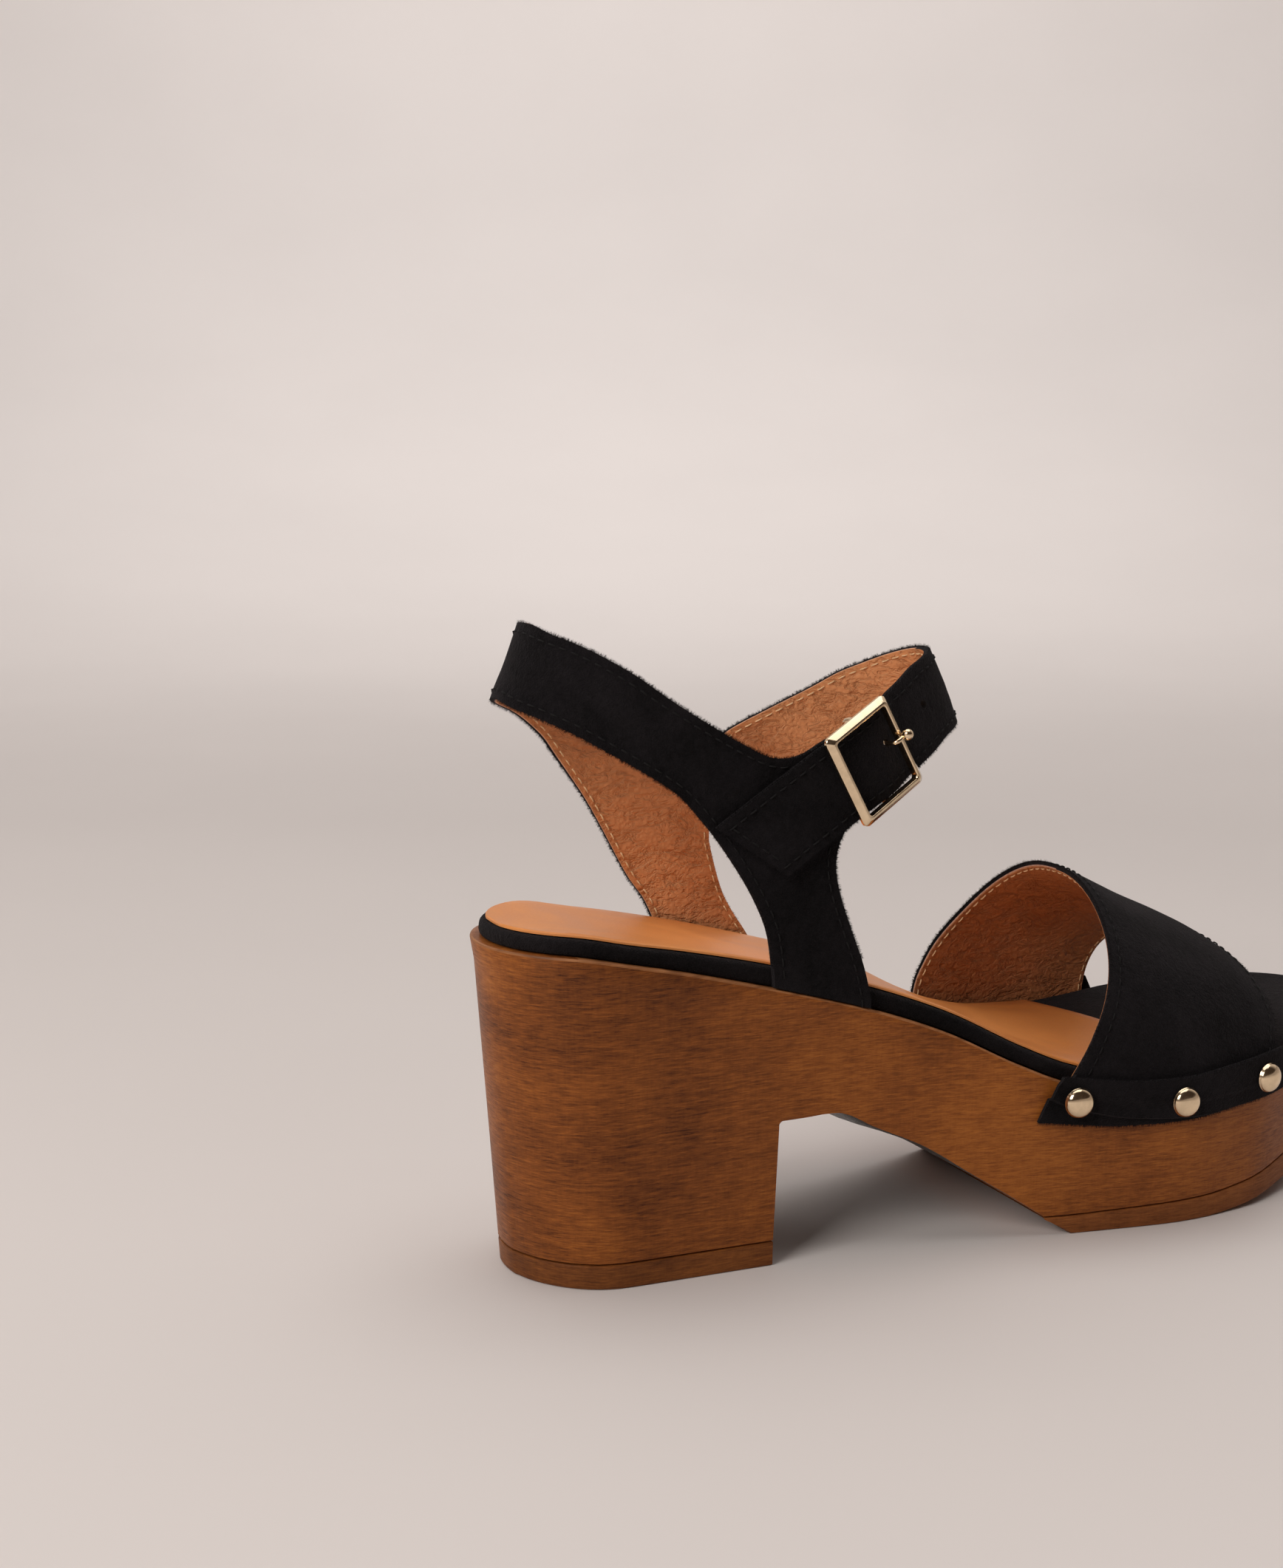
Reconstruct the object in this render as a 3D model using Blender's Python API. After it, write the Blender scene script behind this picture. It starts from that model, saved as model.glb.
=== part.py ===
"""A right-foot clog sandal with a block heel: wooden sole, footbed, toe strap and ankle strap.

Metres. +X points to the toe, +Y to the inner side of the foot, +Z up. The origin is the centre
of the block heel's tread, on the floor.
"""
import math

import bmesh
import bpy
from mathutils import Matrix, Vector
from mathutils.geometry import delaunay_2d_cdt

# Fit between neighbouring pieces
GAP = 0.0003

# Sole: the wood's own outline and heights
LENGTH = 0.2545             # heel to toe of the wood's top outline
HEEL_REACH = 0.0370         # how far the top outline reaches behind the origin
BALL_WIDTH = 0.0855         # widest place of the top outline
HEEL_SEAT_HEIGHT = 0.0805   # wood at the back of the heel
PLATFORM_HEIGHT = 0.0338    # wood under the ball of the foot
TOE_RISE = 0.0067           # how much higher the wood's top is at the toe tip
HEEL_BLOCK_LENGTH = 0.0580  # tread of the block heel
HEEL_LEAN = 0.0066          # how far the heel's back leans out from tread to seat
HEEL_FLARE = 0.0031         # the same on its sides
FOREFOOT_FLARE = 0.0015     # taper of the platform's wall
BREAST_LEAN = 0.0008        # forward lean of the heel's front face
BREAST_FILLET = 0.0012      # round between the heel's front face and the arch
ARCH_HEIGHT = 0.0360        # underside of the shank at the heel's front face
ARCH_KEEL = 0.0040          # how much lower the underside hangs along its middle
TOP_LIFT = 0.0060           # wear piece under the heel
TREAD = 0.0047              # tread under the platform
TREAD_TOE = 0.0080          # the same tread at the toe tip
TREAD_BACK = 0.1070         # floor edge of the platform, from the origin
ROCKER_START = 0.1450       # where the tread leaves the floor
TOE_SPRING = 0.0135         # tread above the floor at the toe tip

# Footbed and sock
FOOTBED = 0.0043
FOOTBED_INSET = 0.0022      # rim of wood left around the footbed
FOOTBED_DISH = 0.0008       # hollow along its middle
FOOTBED_ROUND = 0.0015      # round of its wrapped edge
SOCK = 0.0008
SOCK_INSET = 0.0040         # from the wood's outline
SOCK_END = 0.1500           # front of the sock, from the origin
SOCK_ARC = 0.0090           # how far its front edge bows forward

# Upper
STRAP_WALL = 0.0018         # suede and lining
ANKLE_STRAP = 0.0182
HEEL_STRAP = 0.0172
ANKLE_BASE = 0.0640         # level that the quarters' table is measured from
ANKLE_HEIGHT = 0.0900       # from that level to the heel strap's top edge
ANKLE_HALF_WIDTH = 0.0260
FREE_END_SLANT = 0.0026     # how far the strap's end cut leans out of square
TOE_STRAP_WALL = 0.0018
TOE_STRAP_SKIVE = 0.0012    # thinned edge that is nailed to the wood
TOE_STRAP_FLAP = 0.0045     # depth of that edge below the wood's top
INSTEP_HEIGHT = 0.0560      # toe strap above the wood at its rear edge
TOE_STRAP_SKEW = 0.0045     # ridge of the instep, towards the inner side
TOE_STRAP_BACK = 0.1040     # rear edge at the outer side, from the origin
TOE_STRAP_WIDTH = 0.0605    # from rear to front edge along the outer side

# Stapled bands and studs
BAND_WALL = 0.0014
BAND_HEIGHT = 0.0118
BAND_REACH = 0.0022         # upper corners beyond the toe strap's edges
BAND_TIP = 0.0052           # pointed ends beyond the upper corners
STUD_DIAMETER = 0.0076
STUD_HEIGHT = 0.0024
STUD_REAR = 0.0016          # first stud, in from the strap's rear edge
STUD_FRONT = 0.0046         # last stud, in from its front edge
STUDS_PER_SIDE = 3
STUD_EASE = 0.935           # under 1 sets the middle studs nearer the toe

# Buckle
BUCKLE_WIDTH = 0.0213       # along the strap
BUCKLE_BAR = 0.0021
STRAP_PLAY = 0.0009         # between the strap's edges and the frame
BUCKLE_HEIGHT = ANKLE_STRAP + 2.0 * (BUCKLE_BAR + STRAP_PLAY)
BUCKLE_DEPTH = 0.0020
BUCKLE_EDGE = 0.0007        # thickness left at its bevelled outer edge
CENTRE_BAR = 0.0016
PIN = 0.0011
PIN_TIP = 0.0028            # rolled tip on the front bar
PIN_RISE = 0.0012           # pin above the strap's middle
PIN_HOLE_AT = 0.0054        # hole in the strap, in front of the centre bar
BUCKLE_SHARE = 0.35128      # centre of the buckle, as a share of the length from the heel
BUCKLE_AT = BUCKLE_SHARE * LENGTH - HEEL_REACH
BRANCH_END = 0.0034         # end of the folded branch, behind the centre bar
PIN_PLAY = 0.00055          # between the pin and its hole in the strap
STRAP_HOLE = PIN + 2.0 * PIN_PLAY

# Top outline of the wood. Centre line and half width are shares of half the ball width, and the
# ends are rounded by end_round.
PLAN = (
    # share of length, centre, half width
    (0.000, 0.000, 0.640),
    (0.106, 0.000, 0.633),
    (0.224, 0.007, 0.637),
    (0.322, 0.019, 0.648),
    (0.420, 0.042, 0.706),
    (0.507, 0.068, 0.821),
    (0.597, 0.092, 0.933),
    (0.695, 0.102, 1.000),
    (0.774, 0.125, 0.966),
    (0.833, 0.167, 0.903),
    (0.892, 0.233, 0.854),
    (0.951, 0.305, 0.772),
    (1.000, 0.364, 0.678),
)
HEEL_ROUND_SHARE = 0.106
TOE_ROUND_SHARE = 0.226

# Top line of the wood from the heel seat down to the ball: share of that drop
SEAT_DROP = (
    # share of length, height
    (0.000, 1.000),
    (0.055, 0.989),
    (0.134, 0.911),
    (0.220, 0.798),
    (0.306, 0.670),
    (0.369, 0.564),
    (0.436, 0.425),
    (0.511, 0.222),
    (0.566, 0.098),
    (0.625, 0.025),
    (0.695, 0.000),
    (1.000, 0.000),
)
# The same line in front of the ball: share of TOE_RISE
TOE_LINE = (
    # share of length, height
    (0.000, 0.000),
    (0.695, 0.000),
    (0.755, 0.180),
    (0.813, 0.480),
    (0.892, 0.800),
    (1.000, 1.000),
)
# Underside of the shank between the end of the breast fillet and the platform's floor edge
ARCH = (
    # share of that distance, share of the arch height
    (0.000, 1.000),
    (0.080, 1.004),
    (0.150, 1.013),
    (0.190, 1.010),
    (0.230, 0.984),
    (0.310, 0.890),
    (0.415, 0.790),
    (0.490, 0.712),
    (0.663, 0.472),
    (0.832, 0.244),
    (1.000, 0.000),
)
# Footbed's rim along the foot, as a share of its thickness
FOOTBED_LINE = (
    (0.00, 0.82),
    (0.10, 0.86),
    (0.26, 1.08),
    (0.40, 1.06),
    (0.55, 0.94),
    (1.00, 0.90),
)
# Last at the ankle. Back and front are shares of LENGTH, width is a share of ANKLE_HALF_WIDTH.
LAST = (
    # share of ankle height, back, front, width
    (0.00, -0.003, 0.592, 1.040),
    (0.35, 0.001, 0.545, 1.005),
    (0.60, 0.007, 0.508, 0.985),
    (0.79, 0.018, 0.482, 0.965),
    (0.90, 0.034, 0.463, 0.950),
    (1.00, 0.047, 0.446, 0.930),
)
LAST_SQUARENESS = 2.2

# Middle lines of the straps and edges of the quarters in side view. Each row is a share of the
# length from the heel and a share of the ankle height.
HEEL_STRAP_OUTER = (
    (0.045, 0.887),
    (0.066, 0.858),
    (0.101, 0.800),
    (0.134, 0.740),
    (0.169, 0.670),
)
HEEL_STRAP_INNER = (
    (0.045, 0.888),
    (0.079, 0.838),
    (0.112, 0.762),
    (0.132, 0.700),
    (0.153, 0.639),
)
STRAP_INNER = (
    (0.300, 0.546),
    (0.322, 0.572),
    (0.359, 0.621),
    (0.403, 0.680),
    (0.440, 0.737),
)
STRAP_OUTER = (
    (0.444, 0.780),
    (0.413, 0.732),
    (0.381, 0.681),
    (0.354, 0.640),
    (0.321, 0.590),
    (0.290, 0.536),
    (0.258, 0.479),
)
FREE_END = (0.228, 0.421)
HEEL_STRAP_BACK = 0.909     # the heel strap's middle at the back
STRAP_FRONT = 0.804         # the ankle strap's middle at the front
TAB = (
    (0.290, 0.548),
    (0.324, 0.604),
    ((BUCKLE_AT - BRANCH_END + HEEL_REACH) / LENGTH, 0.620),
)
REAR_OUTER = (
    (0.157, 0.585),
    (0.187, 0.495),
    (0.208, 0.415),
    (0.230, 0.315),
    (0.246, 0.215),
    (0.252, 0.120),
    (0.254, 0.050),
)
FRONT_OUTER = (
    (0.354, 0.010),
    (0.346, 0.090),
    (0.333, 0.190),
    (0.321, 0.290),
    (0.317, 0.370),
    (0.324, 0.440),
)
REAR_INNER = (
    (0.107, 0.628),
    (0.134, 0.530),
    (0.149, 0.470),
    (0.167, 0.387),
    (0.194, 0.256),
    (0.211, 0.190),
    (0.229, 0.090),
)
FRONT_INNER = (
    (0.338, 0.020),
    (0.324, 0.067),
    (0.308, 0.134),
    (0.296, 0.196),
    (0.283, 0.310),
    (0.279, 0.370),
    (0.286, 0.432),
)
DIP_OUTER = ((0.240, 0.672), (0.262, 0.654), (0.284, 0.662))
DIP_INNER = ((0.222, 0.608), (0.250, 0.592), (0.274, 0.616))

# Toe strap: its edges along the foot by girth, and its height along the foot
TOE_STRAP_EDGES = (
    # share of girth from the outer side, rear edge and front edge as shares of the strap's width
    (0.00, 0.000, 1.000),
    (0.06, 0.110, 1.030),
    (0.14, 0.210, 1.080),
    (0.23, 0.275, 1.095),
    (0.35, 0.322, 1.100),
    (0.50, 0.372, 1.100),
    (0.62, 0.387, 1.080),
    (0.72, 0.342, 1.050),
    (0.80, 0.264, 1.020),
    (0.88, 0.140, 0.995),
    (0.94, 0.035, 0.980),
    (1.00, -0.007, 0.975),
)
INSTEP = (
    # share of length, share of the instep height
    (0.500, 1.120),
    (0.613, 0.960),
    (0.660, 0.880),
    (0.715, 0.760),
    (0.774, 0.610),
    (0.837, 0.405),
    (0.900, 0.240),
)
GIRTH_SQUARENESS = 2.25
# Middle of a band below the wood's top, as a share of its height
BAND_DROP = (
    # share from its rear to its front corner
    (0.00, 0.36),
    (0.05, 0.28),
    (0.19, 0.17),
    (0.34, 0.10),
    (0.51, 0.03),
    (0.71, -0.05),
    (0.90, -0.05),
    (1.00, -0.02),
)


def slopes(xs, ys):
    """Slopes of a smooth line through points that never overshoots them."""
    steps = [(ys[i + 1] - ys[i]) / (xs[i + 1] - xs[i]) for i in range(len(xs) - 1)]
    inner = []
    for before, after in zip(steps, steps[1:]):
        level = before * after <= 0.0
        inner.append(0.0 if level else 2.0 * before * after / (before + after))
    return [steps[0]] + inner + [steps[-1]]


def read(table, column, share):
    """Value of one column of a table at a share, on a smooth line through its rows."""
    xs = [row[0] for row in table]
    ys = [row[column] for row in table]
    share = min(max(share, xs[0]), xs[-1])
    i = min(max(sum(1 for x in xs if x <= share) - 1, 0), len(xs) - 2)
    span = xs[i + 1] - xs[i]
    t = (share - xs[i]) / span
    m = slopes(xs, ys)
    rest = 1.0 - t
    return (ys[i] * (1.0 + 2.0 * t) * rest * rest + m[i] * span * t * rest * rest
            + ys[i + 1] * t * t * (3.0 - 2.0 * t) - m[i + 1] * span * t * t * rest)


def ramp(value, start, end):
    """Soft step from 0 at start to 1 at end."""
    t = min(max((value - start) / (end - start), 0.0), 1.0)
    return t * t * (3.0 - 2.0 * t)


def power(value, exponent):
    """Power that keeps the sign."""
    return math.copysign(abs(value) ** exponent, value)


def share_at(x):
    """Share of the length at a place along the foot."""
    return (x + HEEL_REACH) / LENGTH


def place_at(share):
    """Place along the foot at a share of the length."""
    return share * LENGTH - HEEL_REACH


def end_round(share):
    """Narrowing of the outline towards the heel's back and the toe tip, 0 at both ends."""
    heel = max(0.0, 1.0 - share / HEEL_ROUND_SHARE)
    toe = max(0.0, (share - 1.0 + TOE_ROUND_SHARE) / TOE_ROUND_SHARE)
    return math.sqrt(max(0.0, 1.0 - heel * heel)) * math.sqrt(max(0.0, 1.0 - toe * toe))


def outline(share, side):
    """Point of the wood's top outline; side is -1 on the outer side, 1 on the inner side."""
    half = BALL_WIDTH / 2.0
    centre = read(PLAN, 1, share) * half
    width = read(PLAN, 2, share) * half * end_round(share)
    return Vector((place_at(share), centre + side * width))


def outward(share, side):
    """Unit normal of the top outline, in plan."""
    step = 0.002
    if share < step:
        return Vector((-1.0, 0.0))
    if share > 1.0 - step:
        return Vector((1.0, 0.0))
    along = outline(share + step, side) - outline(share - step, side)
    along.normalize()
    return Vector((-side * along.y, side * along.x))


def top_height(share):
    """Height of the wood's top."""
    drop = (HEEL_SEAT_HEIGHT - PLATFORM_HEIGHT) * read(SEAT_DROP, 1, share)
    return PLATFORM_HEIGHT + drop + TOE_RISE * read(TOE_LINE, 1, share)


def wall(share, side, z, out=0.0):
    """Point on the wood's side wall at height z, moved outwards by out."""
    taper = max(0.0, 1.0 - max(z, 0.0) / top_height(share))
    lip = 0.14 * ramp(taper, 0.0, 0.07) + 0.86 * max(0.0, taper - 0.07) / 0.93
    sides = HEEL_FLARE + (FOREFOOT_FLARE - HEEL_FLARE) * ramp(share, 0.26, 0.42)
    back = (HEEL_LEAN - HEEL_FLARE) * (1.0 - ramp(share, 0.0, HEEL_ROUND_SHARE * 1.15))
    flat = outline(share, side) + outward(share, side) * (out - lip * (sides + back))
    return Vector((flat.x, flat.y, z))


def floor_height(share):
    """Underside of the tread: flat under the ball, rising to the toe."""
    run = max(0.0, place_at(share) - ROCKER_START) / (place_at(1.0) - ROCKER_START)
    return TOE_SPRING * run ** 1.6


def tread_height(share):
    """Joint between tread and wood."""
    run = max(0.0, place_at(share) - TREAD_BACK) / (place_at(1.0) - TREAD_BACK)
    return floor_height(share) + TREAD + (TREAD_TOE - TREAD) * run


BREAST = HEEL_BLOCK_LENGTH / 2.0


def arch_height(share):
    """Underside of the shank along its edges, in front of the breast fillet."""
    start = BREAST + BREAST_LEAN + BREAST_FILLET
    run = (place_at(share) - start) / (TREAD_BACK - start)
    return ARCH_HEIGHT * read(ARCH, 1, run)


def sole_stations():
    """Shares of the length, underside heights and keel shares of the wood's cross sections."""
    rows = []
    seat = TOP_LIFT + GAP
    back = HEEL_ROUND_SHARE * 1.2
    for i in range(7):
        rows.append((back * (1.0 - math.cos(math.pi * i / 12.0)), seat, 0.0))
    for i in range(1, 5):
        rows.append((back + (share_at(BREAST) - back) * i / 4.0, seat, 0.0))
    springing = ARCH_HEIGHT - BREAST_FILLET
    for i in range(4):
        angle = math.pi * i / 6.0
        x = BREAST + BREAST_LEAN + BREAST_FILLET * (1.0 - math.cos(angle))
        rows.append((share_at(x), springing + BREAST_FILLET * math.sin(angle), 1.0))
    start = share_at(BREAST + BREAST_LEAN + BREAST_FILLET)
    end = share_at(TREAD_BACK)
    for i in range(1, 12):
        share = start + (end - start) * i / 12.0
        if arch_height(share) < tread_height(end) + 2.0 * GAP:
            break
        rows.append((share, arch_height(share), 1.0 - ramp(i / 12.0, 0.1, 0.85)))
    low = rows[-1][0]
    high = end
    for _ in range(30):
        middle = (low + high) / 2.0
        if arch_height(middle) > tread_height(end) + GAP:
            low = middle
        else:
            high = middle
    rows.append((high, tread_height(end) + GAP, 0.0))
    return rows, high


def forefoot_stations(start, count):
    """Shares from start to the toe tip, closing up towards the tip."""
    return [start + (1.0 - start) * math.sin(math.pi / 2.0 * i / count) for i in range(count + 1)]


def ring_solid(name, rings, caps=(False, False)):
    """Closed mesh object from rings, each a lower row, and an upper row above it.

    A ring is (lower, inner wall, upper, outer wall): the lower row runs from the outer to the
    inner side, the upper row from the inner to the outer side.
    """
    mesh = bmesh.new()
    loops = []
    for lower, inner, upper, outer in rings:
        loops.append([mesh.verts.new(p) for p in list(lower) + list(inner) + list(upper) + list(outer)])
    for a, b in zip(loops, loops[1:]):
        for i in range(len(a)):
            j = (i + 1) % len(a)
            mesh.faces.new((a[i], a[j], b[j], b[i]))
    for wanted, loop, ring in ((caps[0], loops[0], rings[0]), (caps[1], loops[-1], rings[-1])):
        if not wanted:
            continue
        count = len(ring[0])
        low = loop[:count]
        high = loop[count + len(ring[1]):count + len(ring[1]) + count][::-1]
        for i in range(count - 1):
            mesh.faces.new((low[i], low[i + 1], high[i + 1], high[i]))
    bmesh.ops.remove_doubles(mesh, verts=mesh.verts, dist=1e-6)
    return finish_mesh(name, mesh)


def finish_mesh(name, mesh, smooth=30.0):
    """Object from a bmesh, with its faces pointing out and its round parts shaded smooth."""
    bmesh.ops.dissolve_degenerate(mesh, edges=mesh.edges, dist=1e-7)
    bmesh.ops.recalc_face_normals(mesh, faces=mesh.faces)
    if mesh.calc_volume(signed=True) < 0.0:
        bmesh.ops.reverse_faces(mesh, faces=mesh.faces)
    data = bpy.data.meshes.new(name)
    mesh.to_mesh(data)
    mesh.free()
    data.shade_smooth()
    data.set_sharp_from_angle(angle=math.radians(smooth))
    piece = bpy.data.objects.new(name, data)
    bpy.context.scene.collection.objects.link(piece)
    return piece


def material(name, colour, roughness, metallic=0.0):
    """Principled material."""
    made = bpy.data.materials.new(name)
    made.use_nodes = True
    shader = made.node_tree.nodes["Principled BSDF"]
    shader.inputs["Base Color"].default_value = (*colour, 1.0)
    shader.inputs["Roughness"].default_value = roughness
    shader.inputs["Metallic"].default_value = metallic
    return made


def across(low, high, count, sag=0.0):
    """Row of points from low to high; its middle sinks by sag."""
    row = []
    for i in range(count + 1):
        t = i / count
        point = low.lerp(high, t)
        point.z -= sag * (1.0 - (2.0 * t - 1.0) ** 2)
        row.append(point)
    return row


def block_ring(share, bottom, top, keel=0.0, levels=5, columns=6):
    """Cross section of the wood between two heights."""
    heights = [bottom + (top - bottom) * i / levels for i in range(levels + 1)]
    inner = [wall(share, 1, z) for z in heights]
    outer = [wall(share, -1, z) for z in heights]
    lower = across(outer[0], inner[0], columns, keel)
    upper = across(inner[-1], outer[-1], columns)
    return lower, inner[1:-1], upper, outer[1:-1][::-1]


def build_sole():
    """One-piece wooden sole: block heel, shank and platform."""
    rows, split = sole_stations()
    rings = [block_ring(share, bottom, top_height(share), ARCH_KEEL * keel)
             for share, bottom, keel in rows]
    for share in forefoot_stations(split, 13)[1:]:
        rings.append(block_ring(share, tread_height(share) + GAP, top_height(share)))
    return ring_solid("sole", rings)


def build_top_lift():
    """Wear piece under the block heel."""
    rows, _ = sole_stations()
    front = share_at(BREAST + BREAST_FILLET / 2.0)
    rings = [block_ring(share, 0.0, TOP_LIFT, 0.0, 1)
             for share, bottom, _ in rows if share < front and bottom < ARCH_HEIGHT / 2.0]
    return ring_solid("heel_top_lift", rings, (False, True))


def build_tread():
    """Tread under the platform: its rear face carries on the slope of the arch."""
    _, split = sole_stations()
    floor_edge = share_at(TREAD_BACK)
    low_shares = forefoot_stations(floor_edge, 13)
    high_shares = forefoot_stations(split, 13)
    rings = []
    for low, high in zip(low_shares, high_shares):
        height = tread_height(floor_edge) if high < floor_edge else tread_height(high)
        outer = wall(high, -1, height)
        inner = wall(high, 1, height)
        lower = across(wall(low, -1, floor_height(low)), wall(low, 1, floor_height(low)), 4)
        rings.append((lower, [], across(inner, outer, 4), []))
    return ring_solid("forefoot_tread", rings, (True, False))


def footbed_thickness(share):
    """Thickness of the footbed's rim."""
    return FOOTBED * read(FOOTBED_LINE, 1, share)


def inset_point(share, side, inset, z):
    """Point inside the wood's top outline."""
    flat = outline(share, side) - outward(share, side) * inset
    return Vector((flat.x, flat.y, z))


def footbed_point(share, t):
    """Point of the footbed's upper face; t runs from 0 at the outer rim to 1 at the inner rim."""
    rim = top_height(share) + GAP + footbed_thickness(share)
    outer = inset_point(share, -1, FOOTBED_INSET + FOOTBED_ROUND, rim)
    inner = inset_point(share, 1, FOOTBED_INSET + FOOTBED_ROUND, rim)
    point = outer.lerp(inner, t)
    point.z -= FOOTBED_DISH * end_round(share) * (1.0 - (2.0 * t - 1.0) ** 2)
    return point


def plan_shares():
    """Shares of the length for the pieces that lie on the wood."""
    back = HEEL_ROUND_SHARE * 1.2
    shares = [back * (1.0 - math.cos(math.pi * i / 12.0)) for i in range(7)]
    shares += [back + (0.70 - back) * i / 16.0 for i in range(1, 17)]
    return shares + forefoot_stations(0.70, 10)[1:]


def build_footbed():
    """Footbed with a wrapped, rounded edge."""
    rings = []
    for share in plan_shares():
        base = top_height(share) + GAP
        rim = base + footbed_thickness(share)
        walls = {}
        for side in (-1, 1):
            bulge = inset_point(share, side, FOOTBED_INSET, base)
            shoulder = inset_point(share, side, FOOTBED_INSET, rim - FOOTBED_ROUND)
            turn = inset_point(share, side, FOOTBED_INSET + 0.3 * FOOTBED_ROUND, rim - 0.3 * FOOTBED_ROUND)
            walls[side] = (bulge, shoulder, turn)
        upper = [footbed_point(share, 1.0 - i / 6.0) for i in range(7)]
        lower = across(walls[-1][0], walls[1][0], 6)
        rings.append((lower, walls[1][1:], upper, walls[-1][1:][::-1]))
    return ring_solid("footbed", rings)


def build_sock():
    """Leather sock on the footbed, with a bowed front edge."""
    end = share_at(SOCK_END - SOCK_ARC)
    shares = [share for share in plan_shares() if 0.002 < share < end - 0.012] + [end]
    rim = FOOTBED_INSET + FOOTBED_ROUND
    rings = []
    for share in shares:
        width = inset_point(share, 1, rim, 0.0).y - inset_point(share, -1, rim, 0.0).y
        edge = min((SOCK_INSET - rim) / max(width, 1e-4), 0.4)
        rows = []
        for lift in (GAP, GAP + SOCK):
            row = []
            for i in range(7):
                t = edge + (1.0 - 2.0 * edge) * i / 6.0
                bow = SOCK_ARC / LENGTH * (1.0 - (2.0 * t - 1.0) ** 2) * ramp(share, 0.4, end)
                point = footbed_point(share + bow, t)
                point.z += lift
                row.append(point)
            rows.append(row)
        rings.append((rows[0], [], rows[1][::-1], []))
    return ring_solid("insole_sock", rings, (True, True))


def last_section(z):
    """Centre, half length and half width of the ankle last at a height."""
    level = (z - ANKLE_BASE) / ANKLE_HEIGHT
    back = place_at(read(LAST, 1, level))
    front = place_at(read(LAST, 2, level))
    return (back + front) / 2.0, (front - back) / 2.0, ANKLE_HALF_WIDTH * read(LAST, 3, level)


def wrap_at(x, z):
    """Wrap around the ankle of a place in side view: 0 at the heel's back, 1 at the front."""
    centre, reach, _ = last_section(z)
    t = min(max((centre - x) / reach, -1.0), 1.0)
    return math.acos(power(t, LAST_SQUARENESS / 2.0)) / math.pi


def last_point(wrap, z):
    """Point on the last's surface, where the upper's outer face lies."""
    centre, reach, width = last_section(z)
    angle = math.pi * wrap
    x = centre - reach * power(math.cos(angle), 2.0 / LAST_SQUARENESS)
    y = width * power(math.sin(angle), 2.0 / LAST_SQUARENESS)
    seat = share_at(x)
    if 0.1 < seat < 0.7:
        side = 1 if y > 0.0 else -1
        rim = outline(seat, side).y - side * (FOOTBED_INSET - GAP - STRAP_WALL)
        height = z - top_height(seat)
        y += (rim - y) * (1.0 - ramp(height, 0.08 * ANKLE_HEIGHT, 0.45 * ANKLE_HEIGHT))
    return Vector((x, y, z))


def last_normal(wrap, z):
    """Outward normal of the last's surface."""
    step = 0.01
    around = last_point(wrap + step, z) - last_point(wrap - step, z)
    up = last_point(wrap, z + 0.002) - last_point(wrap, z - 0.002)
    normal = up.cross(around)
    return normal.normalized()


def turns_of_last():
    """Length round the last at the strap's level, for evenly spaced wraps from back to front."""
    level = ANKLE_BASE + ANKLE_HEIGHT * 0.7
    lengths = [0.0]
    points = [last_point(i / 96.0, level) for i in range(97)]
    for a, b in zip(points, points[1:]):
        lengths.append(lengths[-1] + (b - a).length)
    return lengths


TURNS = []


def length_of(wrap):
    """Length round the last from the back of the heel, negative on the outer side."""
    if not TURNS:
        TURNS.extend(turns_of_last())
    if wrap < 0.0:
        return -length_of(-wrap)
    if wrap > 1.0:
        return 2.0 * TURNS[-1] - length_of(2.0 - wrap)
    i = min(int(wrap * 96.0), 95)
    t = wrap * 96.0 - i
    return TURNS[i] * (1.0 - t) + TURNS[i + 1] * t


def wrap_of(length):
    """Wrap at a length round the last."""
    if not TURNS:
        TURNS.extend(turns_of_last())
    if length < 0.0:
        return -wrap_of(-length)
    if length > TURNS[-1]:
        return 2.0 - wrap_of(2.0 * TURNS[-1] - length)
    i = min(max(sum(1 for x in TURNS if x <= length) - 1, 0), 95)
    return (i + (length - TURNS[i]) / (TURNS[i + 1] - TURNS[i])) / 96.0


def strap_level(x):
    """Height of the ankle strap's middle on the outer side, at a place along the foot."""
    return ANKLE_BASE + ANKLE_HEIGHT * read(sorted(STRAP_OUTER), 1, share_at(x))


def past(x):
    """Wrap of the long strap's outer end, past the front of the ankle."""
    return 2.0 - wrap_at(x, strap_level(x))


def layer(wrap):
    """How far the long strap rises over the buckle's centre bar and the branch under it."""
    front = past(BUCKLE_AT + BUCKLE_WIDTH / 2.0)
    full = past(BUCKLE_AT + CENTRE_BAR * 1.6)
    return (STRAP_WALL + GAP) * ramp(wrap, front, full)


def strap_face(length, z, depth):
    """Point of the upper: depth is 0 on its outer face and 1 on its lining."""
    wrap = wrap_of(length)
    return last_point(wrap, z) + last_normal(wrap, z) * (layer(wrap) - STRAP_WALL * depth)


def flat(wrap, z):
    """Place on the flat pattern."""
    return Vector((length_of(wrap), z))


def side_point(share, level, turn):
    """Pattern point of a table row: turn is inner, outer or past the front."""
    z = ANKLE_BASE + ANKLE_HEIGHT * level
    wrap = wrap_at(place_at(share), z)
    return flat({"inner": wrap, "outer": -wrap, "past": 2.0 - wrap}[turn], z)


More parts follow.
